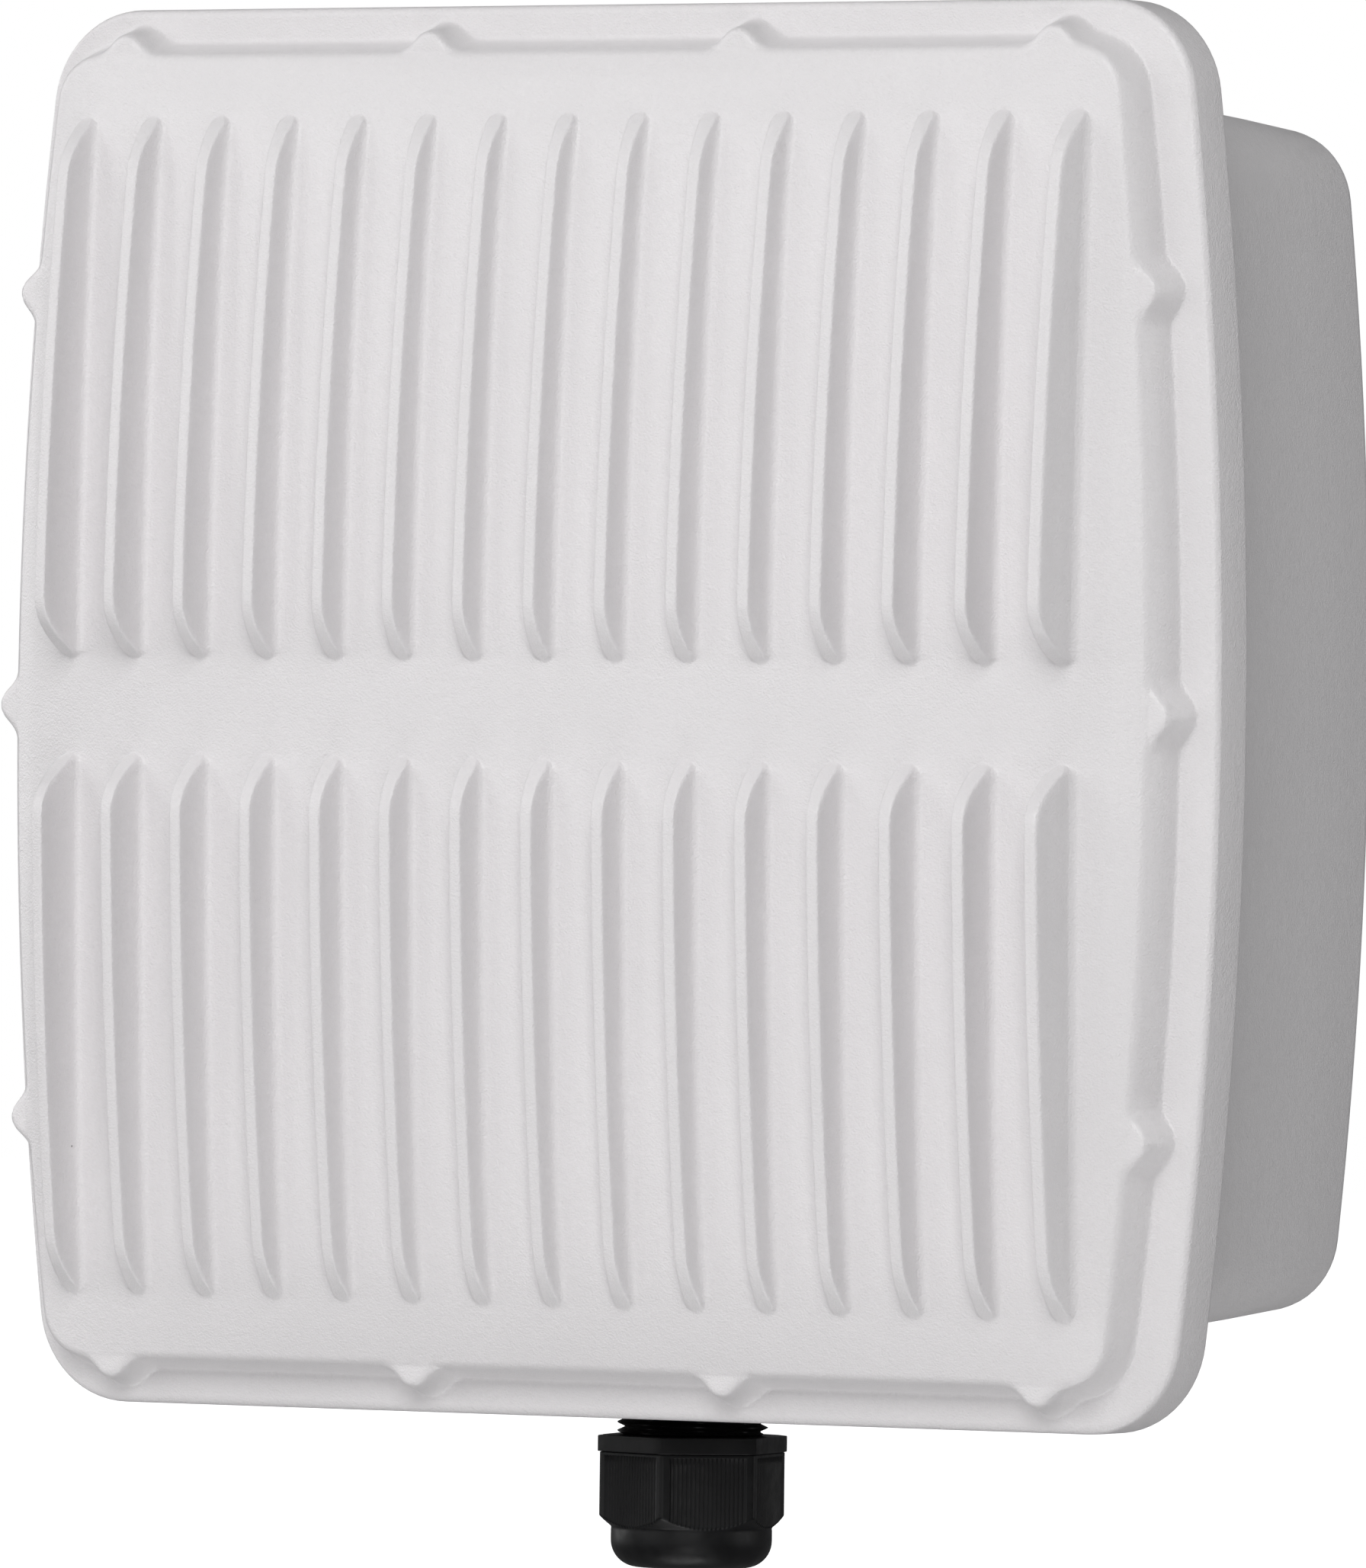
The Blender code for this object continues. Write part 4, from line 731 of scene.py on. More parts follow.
def back_face(shell, ring, ring_places):
    """Back wall with the raised octagonal land and its four blind bolt holes."""
    rows = [(octagon(LAND_HALF + 1.2, LAND_CHAMFER + 0.5), HOUSING_BACK_OUT),
            (octagon(LAND_HALF + 0.35, LAND_CHAMFER + 0.15), HOUSING_BACK_OUT - 0.35),
            (octagon(LAND_HALF, LAND_CHAMFER), HOUSING_BACK_OUT - 1.1),
            (octagon(LAND_HALF, LAND_CHAMFER), 0.6),
            (octagon(LAND_HALF - 0.2, LAND_CHAMFER - 0.05), 0.2),
            (octagon(LAND_HALF - 0.6, LAND_CHAMFER - 0.2), 0.0)]
    made = shell.loft([flat(points, out) for points, out in rows], flip=True)
    planar(shell, ring, ring_places, [made[0]], [rows[0][0]])
    holes = []
    places = []
    for x in (-LAND_BOLT_HALF, LAND_BOLT_HALF):
        for z in (-LAND_BOLT_HALF, LAND_BOLT_HALF):
            centre = np.array([x, z])
            profile = [(LAND_BOLT_RADIUS + 0.7, 0.0), (LAND_BOLT_RADIUS, 0.7)]
            for k in range(8):
                profile.append((LAND_BOLT_RADIUS + (0.28 if k % 2 else 0.0), 0.9 + 0.5 * k))
            profile += [(LAND_BOLT_RADIUS, LAND_BOLT_DEPTH - 0.6), (LAND_BOLT_RADIUS, LAND_BOLT_DEPTH)]
            rings = shell.loft([flat(circle(radius, 24) + centre, out) for radius, out in profile],
                               flip=True)
            shell.cap(rings[-1][::-1])
            holes.append(rings[0])
            places.append(circle(profile[0][0], 24) + centre)
    planar(shell, made[-1], rows[-1][0], holes, places)


def upright(points, z, x=0.0, out=0.0):
    """A ring across the vertical axis through (x, out): points are (x, out) pairs."""
    return metres(points[:, 0] + x, points[:, 1] + out, np.full(len(points), z))


def port(shell):
    """Thick round port under the housing for the gland's thread, with a soft edge."""
    profile = [(22.0, -107.0), (PORT_RADIUS + 0.9, -111.5), (PORT_RADIUS, -112.6), (PORT_RADIUS, -121.9),
               (PORT_RADIUS - 0.2, -122.3), (PORT_RADIUS - 0.6, PORT_BOTTOM), (14.9, PORT_BOTTOM),
               (14.5, PORT_BOTTOM + 0.4), (14.5, -108.5)]
    shell.tube([upright(circle(radius, 64), z, 0.0, GLAND_OUT) for radius, z in profile])
    for x in (-72.0, 72.0):
        ring_pad(shell, x, 50.0, 11.2)
    ring_pad(shell, 38.0, 50.0, 8.6)
    ring_pad(shell, -38.0, 50.0, 6.6)


def ring_pad(shell, x, out, radius):
    """Machined spot face round a fitting's hole, just proud of the drafted wall."""
    low = -(HOUSING_HALF_HEIGHT - DRAFT * (HOUSING_FLANGE_OUT - out - radius * 0.6)) - 0.12
    rows = [upright(circle(r, 40), z, x, out) for r, z in
            ((radius, low + 2.0), (radius, low + 0.1), (radius - 0.15, low), (2.0, low))]
    made = shell.loft(rows)
    shell.cap(made[-1])


def inner_bosses(shell):
    """Bosses inside the back wall that take the bracket bolts."""
    for x in (-LAND_BOLT_HALF, LAND_BOLT_HALF):
        for z in (-LAND_BOLT_HALF, LAND_BOLT_HALF):
            rows = [flat(circle(radius, 28) + np.array([x, z]), out)
                    for radius, out in ((8.2, 6.9), (7.2, 7.6), (7.0, 8.4), (7.0, 9.6), (6.6, 10.0))]
            made = shell.loft(rows)
            shell.cap(made[-1])


# ---------------------------------------------------------------- the cable gland

def hexagon_radius(angle, flats_half, turn, corner):
    """Radius of a rounded hexagon; corners point along turn, as the CAD's do."""
    face = (angle - turn) % (math.pi / 3) - math.pi / 6
    return np.minimum(flats_half / np.cos(face), corner), flats_half * np.tan(face)


def radial(profile, angle):
    """Rows of a piece round the gland's axis; each (radius, z) pair's radius may follow the angle."""
    return [metres(radius * np.cos(angle), GLAND_OUT + radius * np.sin(angle), z) for radius, z in profile]


def around(sides):
    return 2 * math.pi * np.arange(sides) / sides


def gland_lock_nut(look):
    """A moulded hexagon nut with chamfered edges, inside the housing's wall."""
    angle = around(180)
    outer, _ = hexagon_radius(angle, LOCK_NUT_FLATS_HALF, 0.0, LOCK_NUT_CORNER_RADIUS)
    soft = 0.35
    bore = THREAD_RADIUS + 0.3
    lid = LOCK_NUT_FLATS_HALF + 0.1
    top, bottom = LOCK_NUT_TOP, LOCK_NUT_BOTTOM
    profile = [(bore, top - soft), (bore + soft, top), (np.minimum(outer - soft, lid), top),
               (np.minimum(outer - 0.1, lid + 0.5), top - 0.12), (outer, top - 0.75), (outer, bottom + 0.75),
               (np.minimum(outer - 0.1, lid + 0.5), bottom + 0.12), (np.minimum(outer - soft, lid), bottom),
               (bore + soft, bottom), (bore, bottom + soft)]
    shell = Shell()
    shell.tube(radial(profile, angle))
    return shell.build("gland_backing_nut", "gland_lock_nut", look, "black_nylon", 40)


def gland_body(look):
    """Threaded body with its hexagon collar and the plain sleeve below it."""
    angle = around(96)
    depth = THREAD_RADIUS - THREAD_ROOT
    low = COLLAR_TOP + 0.35
    count = int((THREAD_TOP - 0.8 - low) / (THREAD_PITCH / 8))
    profile = [(10.2, THREAD_TOP), (12.9, THREAD_TOP)]
    for i in range(count, -1, -1):
        z = low + i * THREAD_PITCH / 8
        phase = (z / THREAD_PITCH - angle / (2 * math.pi)) % 1.0
        wave = 1 - np.clip(np.abs(phase - 0.5) * 2.25 - 0.03, 0.0, 1.0)
        fade = min(1.0, (THREAD_TOP - 0.6 - z) / THREAD_PITCH)
        profile.append((THREAD_ROOT + depth * wave * max(0.0, fade), z))
    outer, _ = hexagon_radius(angle, COLLAR_FLATS_HALF, NUT_TURN, COLLAR_CORNER_RADIUS)
    profile += [(THREAD_ROOT + 0.2, COLLAR_TOP), (np.minimum(outer - 0.5, 16.6), COLLAR_TOP),
                (outer - 0.05, COLLAR_TOP - 0.12), (outer, COLLAR_TOP - 0.3), (outer, COLLAR_BOTTOM + 0.1),
                (outer - 0.1, COLLAR_BOTTOM), (12.4, COLLAR_BOTTOM),
                (12.4, SLEEVE_BOTTOM), (10.2, SLEEVE_BOTTOM)]
    shell = Shell()
    shell.tube(radial(profile, angle))
    return shell.build("gland_threaded_body", "gland_body", look, "black_nylon", 42)


def gland_nut(look):
    """Dome nut: grip ridges on its flats, a cone at their lower ends and a smooth rounded dome."""
    steps = []
    half_face = NUT_FLATS_HALF * math.tan(math.pi / 6)
    grip = np.arange(-GRIP_HALF_WIDTH, GRIP_HALF_WIDTH + 0.01, GRIP_PITCH / 5)
    flat_places = np.concatenate([np.linspace(-half_face, -GRIP_HALF_WIDTH - 0.15, 6), grip,
                                  np.linspace(GRIP_HALF_WIDTH + 0.15, half_face, 6)[:-1]])
    for k in range(6):
        middle_angle = NUT_TURN + math.pi / 6 + k * math.pi / 3
        steps += [middle_angle + math.atan2(s, NUT_FLATS_HALF) for s in flat_places]
    angle = np.array(steps)
    outer, place = hexagon_radius(angle, NUT_FLATS_HALF, NUT_TURN, NUT_CORNER_RADIUS)
    ridge = 0.5 - 0.5 * np.cos(2 * math.pi * (place + GRIP_HALF_WIDTH) / GRIP_PITCH)
    ridge = np.where(np.abs(place) < GRIP_HALF_WIDTH, ridge ** 0.7, 0.0)

    profile = [(12.8, NUT_TOP), (outer - 0.12, NUT_TOP), (outer, NUT_TOP - 0.12), (outer, NUT_TOP - 0.5)]
    levels = [NUT_TOP - 0.6, NUT_TOP - 0.75] + np.linspace(NUT_TOP - 2.0, -147.5, 5).tolist()
    levels += np.linspace(-148.0, NUT_CONE_BOTTOM + 0.02, 14).tolist()
    slope = (NUT_CORNER_RADIUS + 0.12 - DOME_NUT_RADIUS) / (NUT_CONE_TOP - NUT_CONE_BOTTOM)
    for number, z in enumerate(levels):
        depth = GRIP_DEPTH * (0.0 if number == 0 else 1.0)
        cone = DOME_NUT_RADIUS + slope * (z - NUT_CONE_BOTTOM)
        profile.append((np.minimum(outer - depth * ridge, cone), z))
    profile += [(DOME_NUT_RADIUS - 0.05, NUT_CONE_BOTTOM - 0.25), (DOME_NUT_RADIUS, NUT_CONE_BOTTOM - 0.6)]
    centre = (DOME_NUT_RADIUS - DOME_NUT_ROUNDING, NUT_BOTTOM + DOME_NUT_ROUNDING)
    profile += arc(centre, DOME_NUT_ROUNDING, 0, -90, 12)
    profile += [(9.5, NUT_BOTTOM), (9.15, NUT_BOTTOM + 0.15), (9.0, NUT_BOTTOM + 0.5), (9.0, -154.5),
                (11.6, -151.9), (12.8, -150.4), (12.8, NUT_TOP - 1.0)]
    shell = Shell()
    shell.tube(radial(profile, angle))
    return shell.build("gland_dome_nut", "gland_nut", look, "black_nylon", 48, body="gland_nut")


def turned_piece(name, node, look, slot, x, out, profile, sides=64):
    """A ring-shaped piece turned about a vertical axis; profile is closed (radius, z) pairs."""
    shell = Shell()
    shell.tube([upright(circle(radius, sides), z, x, out) for radius, z in profile])
    return shell.build(name, node, look, slot, 40)


# ---------------------------------------------------------------- fasteners and fittings

def cover_screws(look):
    """Socket-head screws seen from behind the flange, with ridges for a thread and hexagon sockets."""
    for number in range(1, COVER_SCREWS + 1):
        node = f"cover_screw_{number:02d}"
        low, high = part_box(node)
        x = (low.x + high.x) / 2 / MM
        z = (low.z + high.z) / 2 / MM
        rear = -high.y / MM
        front = rear + SCREW_HEAD_HEIGHT
        tip = -low.y / MM
        turn = number * 0.7
        angle = turn + around(30)
        socket = 1.55 / np.cos((angle - turn) % (math.pi / 3) - math.pi / 6)
        profile = [(socket * 0.96, rear + 1.7), (socket, rear + 1.6), (socket, rear + 0.15),
                   (socket + 0.2, rear), (3.3, rear), (3.55, rear + 0.08),
                   (3.7, rear + 0.35), (3.7, front - 0.1), (3.6, front), (1.95, front)]
        for k in range(int((tip - front - 0.8) / SCREW_HALF_PITCH)):
            profile.append((1.68 if k % 2 else 2.0, front + 0.5 + SCREW_HALF_PITCH * k))
        profile += [(1.6, tip - 0.2), (1.3, tip)]
        shell = Shell()
        made = shell.loft([metres(x + radius * np.cos(angle), out, z + radius * np.sin(angle))
                           for radius, out in profile])
        shell.cap(made[0][::-1])
        shell.cap(made[-1])
        flip_faces(shell.build(f"socket_screw_{number:02d}", node, look, "stainless_steel", 35))


def flip_faces(piece):
    """Turns every face of a closed piece so that it points out."""
    mesh = bmesh.new()
    mesh.from_mesh(piece.data)
    bmesh.ops.recalc_face_normals(mesh, faces=mesh.faces)
    mesh.to_mesh(piece.data)
    mesh.free()


def antenna_fittings(nickel, insulator):
    """Coaxial sockets with ridges for a thread, and their centre contacts; the nuts stay as the CAD has them."""
    for side in ("left", "right"):
        x, out, top, end = middle(f"antenna_socket_{side}")
        flange = end + 12.3
        profile = [(3.4, top), (6.0 - 0.2, top), (6.0, top - 0.2), (6.0, flange), (9.8, flange),
                   (10.0, flange - 0.3), (10.0, flange - 2.2), (9.7, flange - 2.5), (7.3, flange - 2.5)]
        for k in range(20):
            profile.append((7.35 if k % 2 else 7.85, flange - 3.1 - 0.42 * k))
        profile += [(7.5, end + 0.25), (7.2, end), (4.5, end), (4.2, end + 0.3), (4.2, flange - 3.0),
                    (3.4, flange - 2.0)]
        turned_piece(f"coaxial_socket_{side}", f"antenna_socket_{side}", nickel, "nickel_plate", x, out,
                     profile, 48)
        node = f"antenna_contact_{side}"
        _, _, top, end = middle(node)
        shell = Shell()
        profile = [(0.0001, top), (2.9, top), (3.1, top - 0.2), (3.1, end + 9.1), (2.9, end + 8.9),
                   (1.7, end + 8.9), (1.5, end + 8.7), (1.5, end + 1.2), (1.35, end + 0.7),
                   (0.9, end + 0.05), (0.0001, end)]
        made = shell.loft([upright(circle(radius, 28), z, x, out) for radius, z in profile])
        shell.cap(made[0])
        shell.cap(made[-1][::-1])
        flip_faces(shell.build(f"socket_contact_{side}", node, insulator, "white_insulator", 40))


def pressure_vent(look):
    """Vent plug: round head with grip notches and a crown of slots."""
    x, out, top, end = middle("pressure_vent")
    angle = around(96)
    notch = 0.35 * np.clip(np.cos(angle * 12) * 3 - 1.6, 0, 1)
    crown = 0.6 * np.clip(np.cos(angle * 6) * 4 - 2.0, 0, 1)
    profile = [(0.01, top), (3.7, top), (4.0, top - 0.4), (4.0, end + 5.5), (7.2, end + 5.5),
               (7.45 - notch, end + 5.2), (7.45 - notch, end + 2.4), (7.3 - notch, end + 2.0),
               (5.9, end + 1.6), (5.6 - crown, end + 1.2), (5.5 - crown, end + 0.3),
               (5.3 - crown, end), (3.6, end), (3.4, end + 0.4), (0.01, end + 0.4)]
    shell = Shell()
    made = shell.loft([metres(x + radius * np.cos(angle), out + radius * np.sin(angle), z)
                       for radius, z in profile])
    shell.cap(made[0])
    shell.cap(made[-1])
    flip_faces(shell.build("vent_plug", "pressure_vent", look, "black_nylon", 40))


# ---------------------------------------------------------------- materials

class Look:
    """A procedural material: colour, roughness and bump all from layered noise."""

    def __init__(self, name, roughness, metallic=0.0):
        self.material = bpy.data.materials.new(name)
        self.material.use_nodes = True
        self.tree = self.material.node_tree
        self.shader = self.tree.nodes["Principled BSDF"]
        self.shader.inputs["Roughness"].default_value = roughness
        self.shader.inputs["Metallic"].default_value = metallic
        self.place = self.tree.nodes.new("ShaderNodeTexCoord").outputs["Object"]
        self.bump = None

    def node(self, kind, **values):
        made = self.tree.nodes.new(kind)
        for key, value in values.items():
            if hasattr(made, key):
                setattr(made, key, value)
            else:
                made.inputs[key.replace("_", " ")].default_value = value
        return made

    def join(self, source, target):
        self.tree.links.new(source, target)

    def noise(self, size_mm, detail=2.0, roughness=0.5, stretch=None):
        made = self.node("ShaderNodeTexNoise", Scale=1.0 / (size_mm * MM), Detail=detail,
                         Roughness=roughness)
        place = self.place
        if stretch is not None:
            mapping = self.node("ShaderNodeMapping")
            mapping.inputs["Scale"].default_value = stretch
            self.join(place, mapping.inputs["Vector"])
            place = mapping.outputs["Vector"]
        self.join(place, made.inputs["Vector"])
        return made.outputs["Fac"]

    def ramp(self, source, low, high, start=0.35, end=0.65):
        made = self.node("ShaderNodeMapRange")
        for name, value in (("From Min", start), ("From Max", end), ("To Min", low), ("To Max", high)):
            made.inputs[name].default_value = value
        self.join(source, made.inputs["Value"])
        return made.outputs["Result"]

    def mix(self, factor, first, second):
        made = self.tree.nodes.new("ShaderNodeMix")
        made.data_type = "RGBA"
        self.join(factor, made.inputs["Factor"])
        for socket, value in ((made.inputs["A"], first), (made.inputs["B"], second)):
            if isinstance(value, tuple):
                socket.default_value = (*value, 1.0)
            else:
                self.join(value, socket)
        return made.outputs["Result"]

    def colour(self, source):
        self.join(source, self.shader.inputs["Base Color"])

    def rough(self, source):
        self.join(source, self.shader.inputs["Roughness"])

    def relief(self, source, height_mm):
        made = self.node("ShaderNodeBump", Strength=1.0, Distance=height_mm * MM)
        self.join(source, made.inputs["Height"])
        if self.bump is not None:
            self.join(self.bump, made.inputs["Normal"])
        self.bump = made.outputs["Normal"]
        self.join(self.bump, self.shader.inputs["Normal"])

    def set(self, **values):
        for key, value in values.items():
            self.shader.inputs[key.replace("_", " ")].default_value = value


def shade(colour, factor):
    return tuple(min(1.0, c * factor) for c in colour)


def speck_mask(look, spacing_mm, size_mm, share):
    """Small round specks: 1 inside a speck, 0 elsewhere; share is how many cells hold one."""
    cells = look.node("ShaderNodeTexVoronoi", Scale=1.0 / (spacing_mm * MM))
    look.join(look.place, cells.inputs["Vector"])
    near = look.ramp(cells.outputs["Distance"], 1.0, 0.0, size_mm / spacing_mm * 0.6, size_mm / spacing_mm)
    pick = look.node("ShaderNodeSeparateColor")
    look.join(cells.outputs["Color"], pick.inputs["Color"])
    chosen = look.node("ShaderNodeMath", operation="LESS_THAN")
    chosen.inputs[1].default_value = share
    look.join(pick.outputs["Red"], chosen.inputs[0])
    both = look.node("ShaderNodeMath", operation="MULTIPLY")
    look.join(near, both.inputs[0])
    look.join(chosen.outputs["Value"], both.inputs[1])
    return both.outputs["Value"]


def powder_coat(name, colour, peel_mm, height_mm):
    """Satin powder coat: fine orange peel, faint mottling and a few dark inclusions."""
    look = Look(name, 0.5)
    mottled = look.mix(look.ramp(look.noise(24.0, 3.0), 0.0, 1.0), shade(colour, 0.985),
                       shade(colour, 1.012))
    fine = look.mix(look.ramp(look.noise(1.1, 1.0), 0.0, 1.0, 0.3, 0.7), shade(colour, 0.985), mottled)
    specks = speck_mask(look, 26.0, 0.32, 0.14)
    look.colour(look.mix(specks, fine, (0.10, 0.09, 0.085)))
    look.rough(look.ramp(look.noise(3.0, 2.0), 0.3, 0.42))
    look.relief(look.noise(peel_mm * 4, 1.0), height_mm * 0.4)
    look.relief(look.noise(peel_mm, 2.0, 0.6), height_mm)
    look.set(Coat_Weight=0.3, Coat_Roughness=0.14)
    return look.material


def moulded(name, colour, roughness, grain_mm=0.35, height_mm=0.006, dust=0.0, specular=0.5):
    """Moulded plastic or rubber: fine grain, uneven sheen, a little dust."""
    look = Look(name, roughness)
    base = look.mix(look.ramp(look.noise(6.0, 3.0), 0.0, 1.0), shade(colour, 0.8), shade(colour, 1.25))
    if dust > 0:
        base = look.mix(speck_mask(look, 2.6, 0.13, dust), base, (0.25, 0.25, 0.25))
    look.colour(base)
    look.rough(look.ramp(look.noise(2.2, 3.0), roughness - 0.06, roughness + 0.08))
    look.relief(look.noise(grain_mm, 2.0), height_mm)
    look.set(Specular_IOR_Level=specular)
    return look.material


def metal(name, colour, roughness, stretch=(1.0, 1.0, 1.0), height_mm=0.002, grain_mm=0.25):
    """Turned or plated metal: faint tool marks, fingerprints in the sheen, tone drift."""
    look = Look(name, roughness, 1.0)
    look.colour(look.mix(look.ramp(look.noise(3.0, 3.0), 0.0, 1.0), shade(colour, 0.82), colour))
    look.rough(look.ramp(look.noise(1.4, 3.0, stretch=stretch), roughness - 0.05, roughness + 0.13))
    look.relief(look.noise(grain_mm, 2.0, stretch=stretch), height_mm)
    return look.material


def board_look():
    """Solder mask over copper: tracks, vias and a faint weave."""
    look = Look("circuit_board", 0.4)
    tracks = look.node("ShaderNodeTexBrick", Scale=1.0)
    tracks.inputs["Brick Width"].default_value = 9.0
    tracks.inputs["Row Height"].default_value = 1.1
    tracks.inputs["Mortar Size"].default_value = 0.18
    mapping = look.node("ShaderNodeMapping")
    mapping.inputs["Rotation"].default_value = (math.radians(90.0), 0.0, 0.0)
    mapping.inputs["Scale"].default_value = (1 / MM, 1 / MM, 1 / MM)
    look.join(look.place, mapping.inputs["Vector"])
    look.join(mapping.outputs["Vector"], tracks.inputs["Vector"])
    base = look.mix(tracks.outputs["Fac"], (0.018, 0.115, 0.045), (0.028, 0.19, 0.075))
    vias = speck_mask(look, 3.4, 0.45, 0.5)
    look.colour(look.mix(vias, base, (0.55, 0.42, 0.20)))
    look.rough(look.ramp(look.noise(1.8, 3.0), 0.3, 0.46))
    look.relief(tracks.outputs["Fac"], 0.03)
    return look.material


def finish_cad_nodes(looks):
    """Gives every CAD node that stays its procedural material."""
    for slot, look in looks.items():
        for part in frame["record"]["subparts"]:
            node = frame["nodes"][part["node"]]
            if part["material_slot"] == slot and not node.hide_render:
                for index in range(len(node.data.materials)):
                    node.data.materials[index] = look


# ---------------------------------------------------------------- studio

def soft_light(name, azimuth, elevation, power):
    """A square soft box that faces the object from an azimuth (right of the front) and elevation."""
    data = bpy.data.lights.new(name, "AREA")
    data.shape = "SQUARE"
    data.size = LIGHT_SIZE
    data.energy = power
    made = bpy.data.objects.new(name, data)
    away = Vector((math.sin(azimuth) * math.cos(elevation), -math.cos(azimuth) * math.cos(elevation),
                   math.sin(elevation)))
    made.location = LIGHT_TARGET + away * LIGHT_DISTANCE
    made.rotation_mode = "QUATERNION"
    made.rotation_quaternion = (-away).to_track_quat("-Z", "Y")
    bpy.context.scene.collection.objects.link(made)


def studio():
    """White surround that the camera sees evenly, with softer light on the object, and a pale floor."""
    scene = bpy.context.scene
    scene.view_settings.view_transform = "Standard"
    scene.view_settings.look = "None"
    world = bpy.data.worlds.new("studio_world")
    world.use_nodes = True
    scene.world = world
    tree = world.node_tree
    tree.nodes.clear()
    white = tree.nodes.new("ShaderNodeBackground")
    white.inputs["Color"].default_value = (1.0, 1.0, 1.0, 1.0)
    fill = tree.nodes.new("ShaderNodeBackground")
    fill.inputs["Color"].default_value = (0.985, 0.985, 1.0, 1.0)
    fill.inputs["Strength"].default_value = FILL_STRENGTH
    path = tree.nodes.new("ShaderNodeLightPath")
    choose = tree.nodes.new("ShaderNodeMixShader")
    out = tree.nodes.new("ShaderNodeOutputWorld")
    tree.links.new(path.outputs["Is Camera Ray"], choose.inputs["Fac"])
    tree.links.new(fill.outputs["Background"], choose.inputs[1])
    tree.links.new(white.outputs["Background"], choose.inputs[2])
    tree.links.new(choose.outputs["Shader"], out.inputs["Surface"])

    for name, azimuth, elevation, power in STUDIO_LIGHTS:
        soft_light(name, math.radians(azimuth), math.radians(elevation), power)

    floor_height = cad_low.z - FLOOR_DROP
    data = bpy.data.meshes.new("floor")
    spots = [-FLOOR_HALF + 2 * FLOOR_HALF * i / FLOOR_STEPS for i in range(FLOOR_STEPS + 1)]
    places = [(x, y, floor_height) for y in spots for x in spots]
    row = FLOOR_STEPS + 1
    faces = [(j * row + i, j * row + i + 1, (j + 1) * row + i + 1, (j + 1) * row + i)
             for j in range(FLOOR_STEPS) for i in range(FLOOR_STEPS)]
    data.from_pydata(places, [], faces)
    floor = bpy.data.objects.new("floor", data)
    scene.collection.objects.link(floor)
    look = bpy.data.materials.new("pale_floor")
    look.use_nodes = True
    shader = look.node_tree.nodes["Principled BSDF"]
    shader.inputs["Base Color"].default_value = (0.9, 0.9, 0.9, 1.0)
    shader.inputs["Roughness"].default_value = 0.9
    shader.inputs["Emission Color"].default_value = (1.0, 1.0, 1.0, 1.0)
    shader.inputs["Emission Strength"].default_value = 0.9
    data.materials.append(look)
    floor.visible_diffuse = False
    floor.visible_glossy = False
    floor.visible_shadow = False


def camera():
    """A long lens to the right of the front, level with the object."""
    data = bpy.data.cameras.new("studio_camera")
    data.lens = LENS
    data.sensor_width = SENSOR
    data.sensor_fit = "HORIZONTAL"
    data.clip_start = 0.1
    data.clip_end = 100.0
    made = bpy.data.objects.new("studio_camera", data)
    bpy.context.scene.collection.objects.link(made)
    away = Vector((math.sin(VIEW_AZIMUTH) * math.cos(VIEW_ELEVATION),
                   -math.cos(VIEW_AZIMUTH) * math.cos(VIEW_ELEVATION), math.sin(VIEW_ELEVATION)))
    right = Vector((math.cos(VIEW_AZIMUTH), math.sin(VIEW_AZIMUTH), 0.0))
    up = right.cross(-away)
    rolled_right = right * math.cos(VIEW_ROLL) + up * math.sin(VIEW_ROLL)
    rolled_up = up * math.cos(VIEW_ROLL) - right * math.sin(VIEW_ROLL)
    turn = Matrix((rolled_right, rolled_up, away)).transposed()
    made.matrix_world = Matrix.Translation(VIEW_TARGET + away * VIEW_DISTANCE) @ turn.to_4x4()
    bpy.context.scene.camera = made


# ---------------------------------------------------------------- everything together

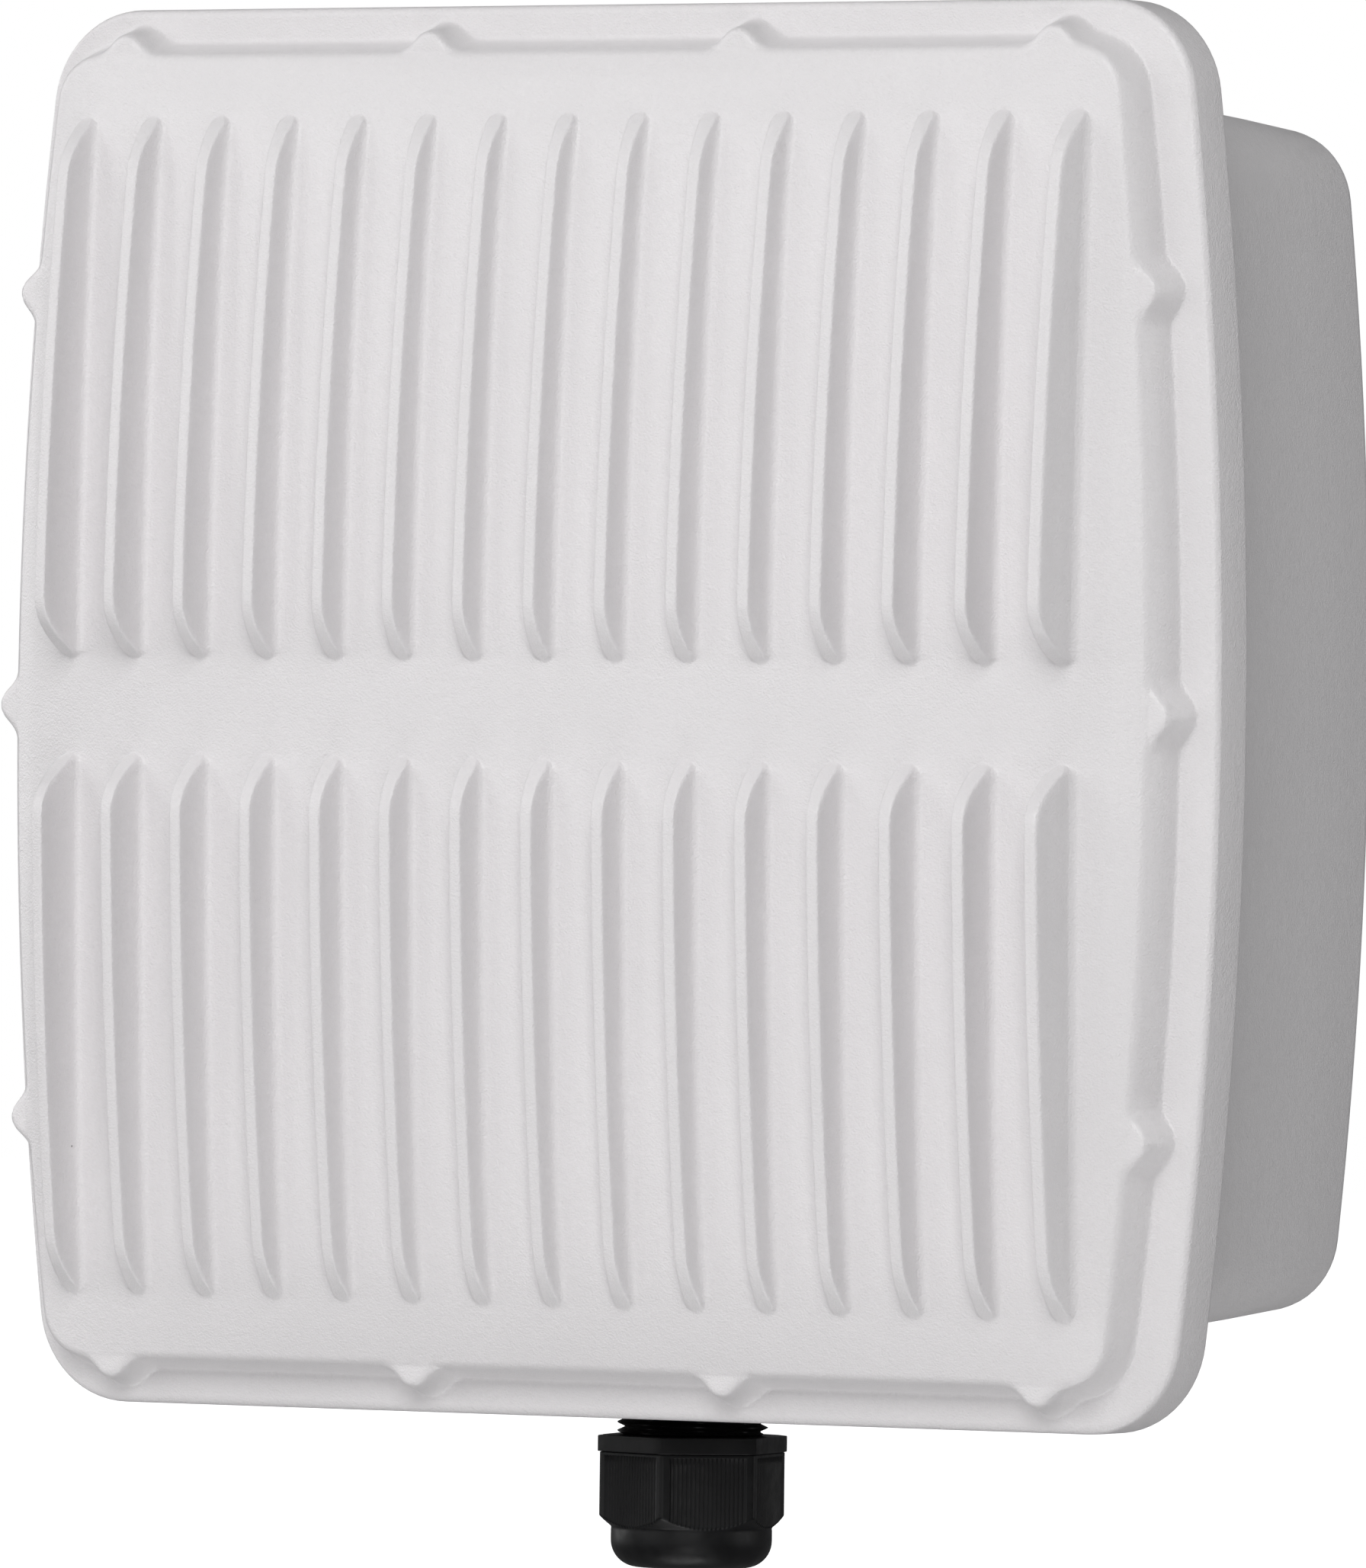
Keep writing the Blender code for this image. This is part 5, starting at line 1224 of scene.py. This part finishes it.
def build():
    white = powder_coat("white_powder_coat", (0.815, 0.795, 0.805), 0.4, 0.22)
    paint = powder_coat("white_housing_paint", (0.80, 0.783, 0.791), 0.4, 0.16)
    nylon = moulded("black_nylon", (0.0055, 0.0056, 0.006), 0.4, dust=0.03, specular=0.22)
    rubber = moulded("black_rubber", (0.02, 0.02, 0.021), 0.62, 0.5, 0.01)
    steel = metal("stainless_steel", (0.62, 0.61, 0.60), 0.28)
    nickel = metal("nickel_plate", (0.70, 0.67, 0.61), 0.18)
    insulator = moulded("white_insulator", (0.82, 0.81, 0.78), 0.42)
    front_cover(white)
    rear_housing(paint)
    cover_screws(steel)
    gland_body(nylon)
    gland_nut(nylon)
    gland_lock_nut(nylon)
    turned_piece("gland_sealing_ring", "gland_seal_ring", rubber, "black_rubber", 0.0, GLAND_OUT,
                 [(14.45, -123.1), (14.75, -122.8), (16.8, -122.8), (17.1, -123.0), (17.2, -123.4),
                  (17.2, -124.2), (17.1, -124.6), (16.8, -124.8), (14.75, -124.8), (14.45, -124.5)])
    turned_piece("gland_bush", "gland_cable_seal", rubber, "black_rubber", 0.0, GLAND_OUT,
                 [(6.6, -131.4), (7.0, -131.0), (9.5, -131.0), (9.9, -131.4), (9.9, -146.8), (9.0, -149.2),
                  (8.6, -149.6), (7.3, -149.6), (6.9, -149.4), (6.6, -148.9), (6.6, -146.0), (6.85, -145.6),
                  (6.6, -145.2), (6.6, -142.0), (6.85, -141.6), (6.6, -141.2)])
    antenna_fittings(nickel, insulator)
    pressure_vent(nylon)
    finish_cad_nodes({
        "stainless_steel": steel,
        "grey_silicone": moulded("grey_silicone", (0.20, 0.20, 0.21), 0.6),
        "nickel_plate": nickel,
        "lead_jacket": moulded("lead_jacket", (0.03, 0.03, 0.035), 0.4, 0.6, 0.01),
        "black_nylon": nylon,
        "black_rubber": rubber,
        "brass": metal("brass", (0.78, 0.57, 0.22), 0.26),
        "green_circuit_board": board_look(),
        "black_epoxy": moulded("black_epoxy", (0.02, 0.02, 0.022), 0.48, 0.25, 0.006),
        "moulded_black": moulded("moulded_black", (0.022, 0.022, 0.024), 0.42),
        "thermal_silicone": moulded("thermal_silicone", (0.45, 0.50, 0.62), 0.7, 0.7, 0.02),
        "tin_plate": metal("tin_plate", (0.72, 0.73, 0.74), 0.25, (1.0, 1.0, 12.0), 0.003),
        "ferrite": moulded("ferrite", (0.06, 0.055, 0.05), 0.55, 0.4, 0.015),
        "capacitor_sleeve": moulded("capacitor_sleeve", (0.03, 0.05, 0.13), 0.3),
        "arrester_ceramic": moulded("arrester_ceramic", (0.75, 0.72, 0.66), 0.3),
        "light_lens": moulded("light_lens", (0.15, 0.65, 0.2), 0.16),
        "button_red": moulded("button_red", (0.55, 0.03, 0.02), 0.34),
    })
    studio()
    camera()


build()
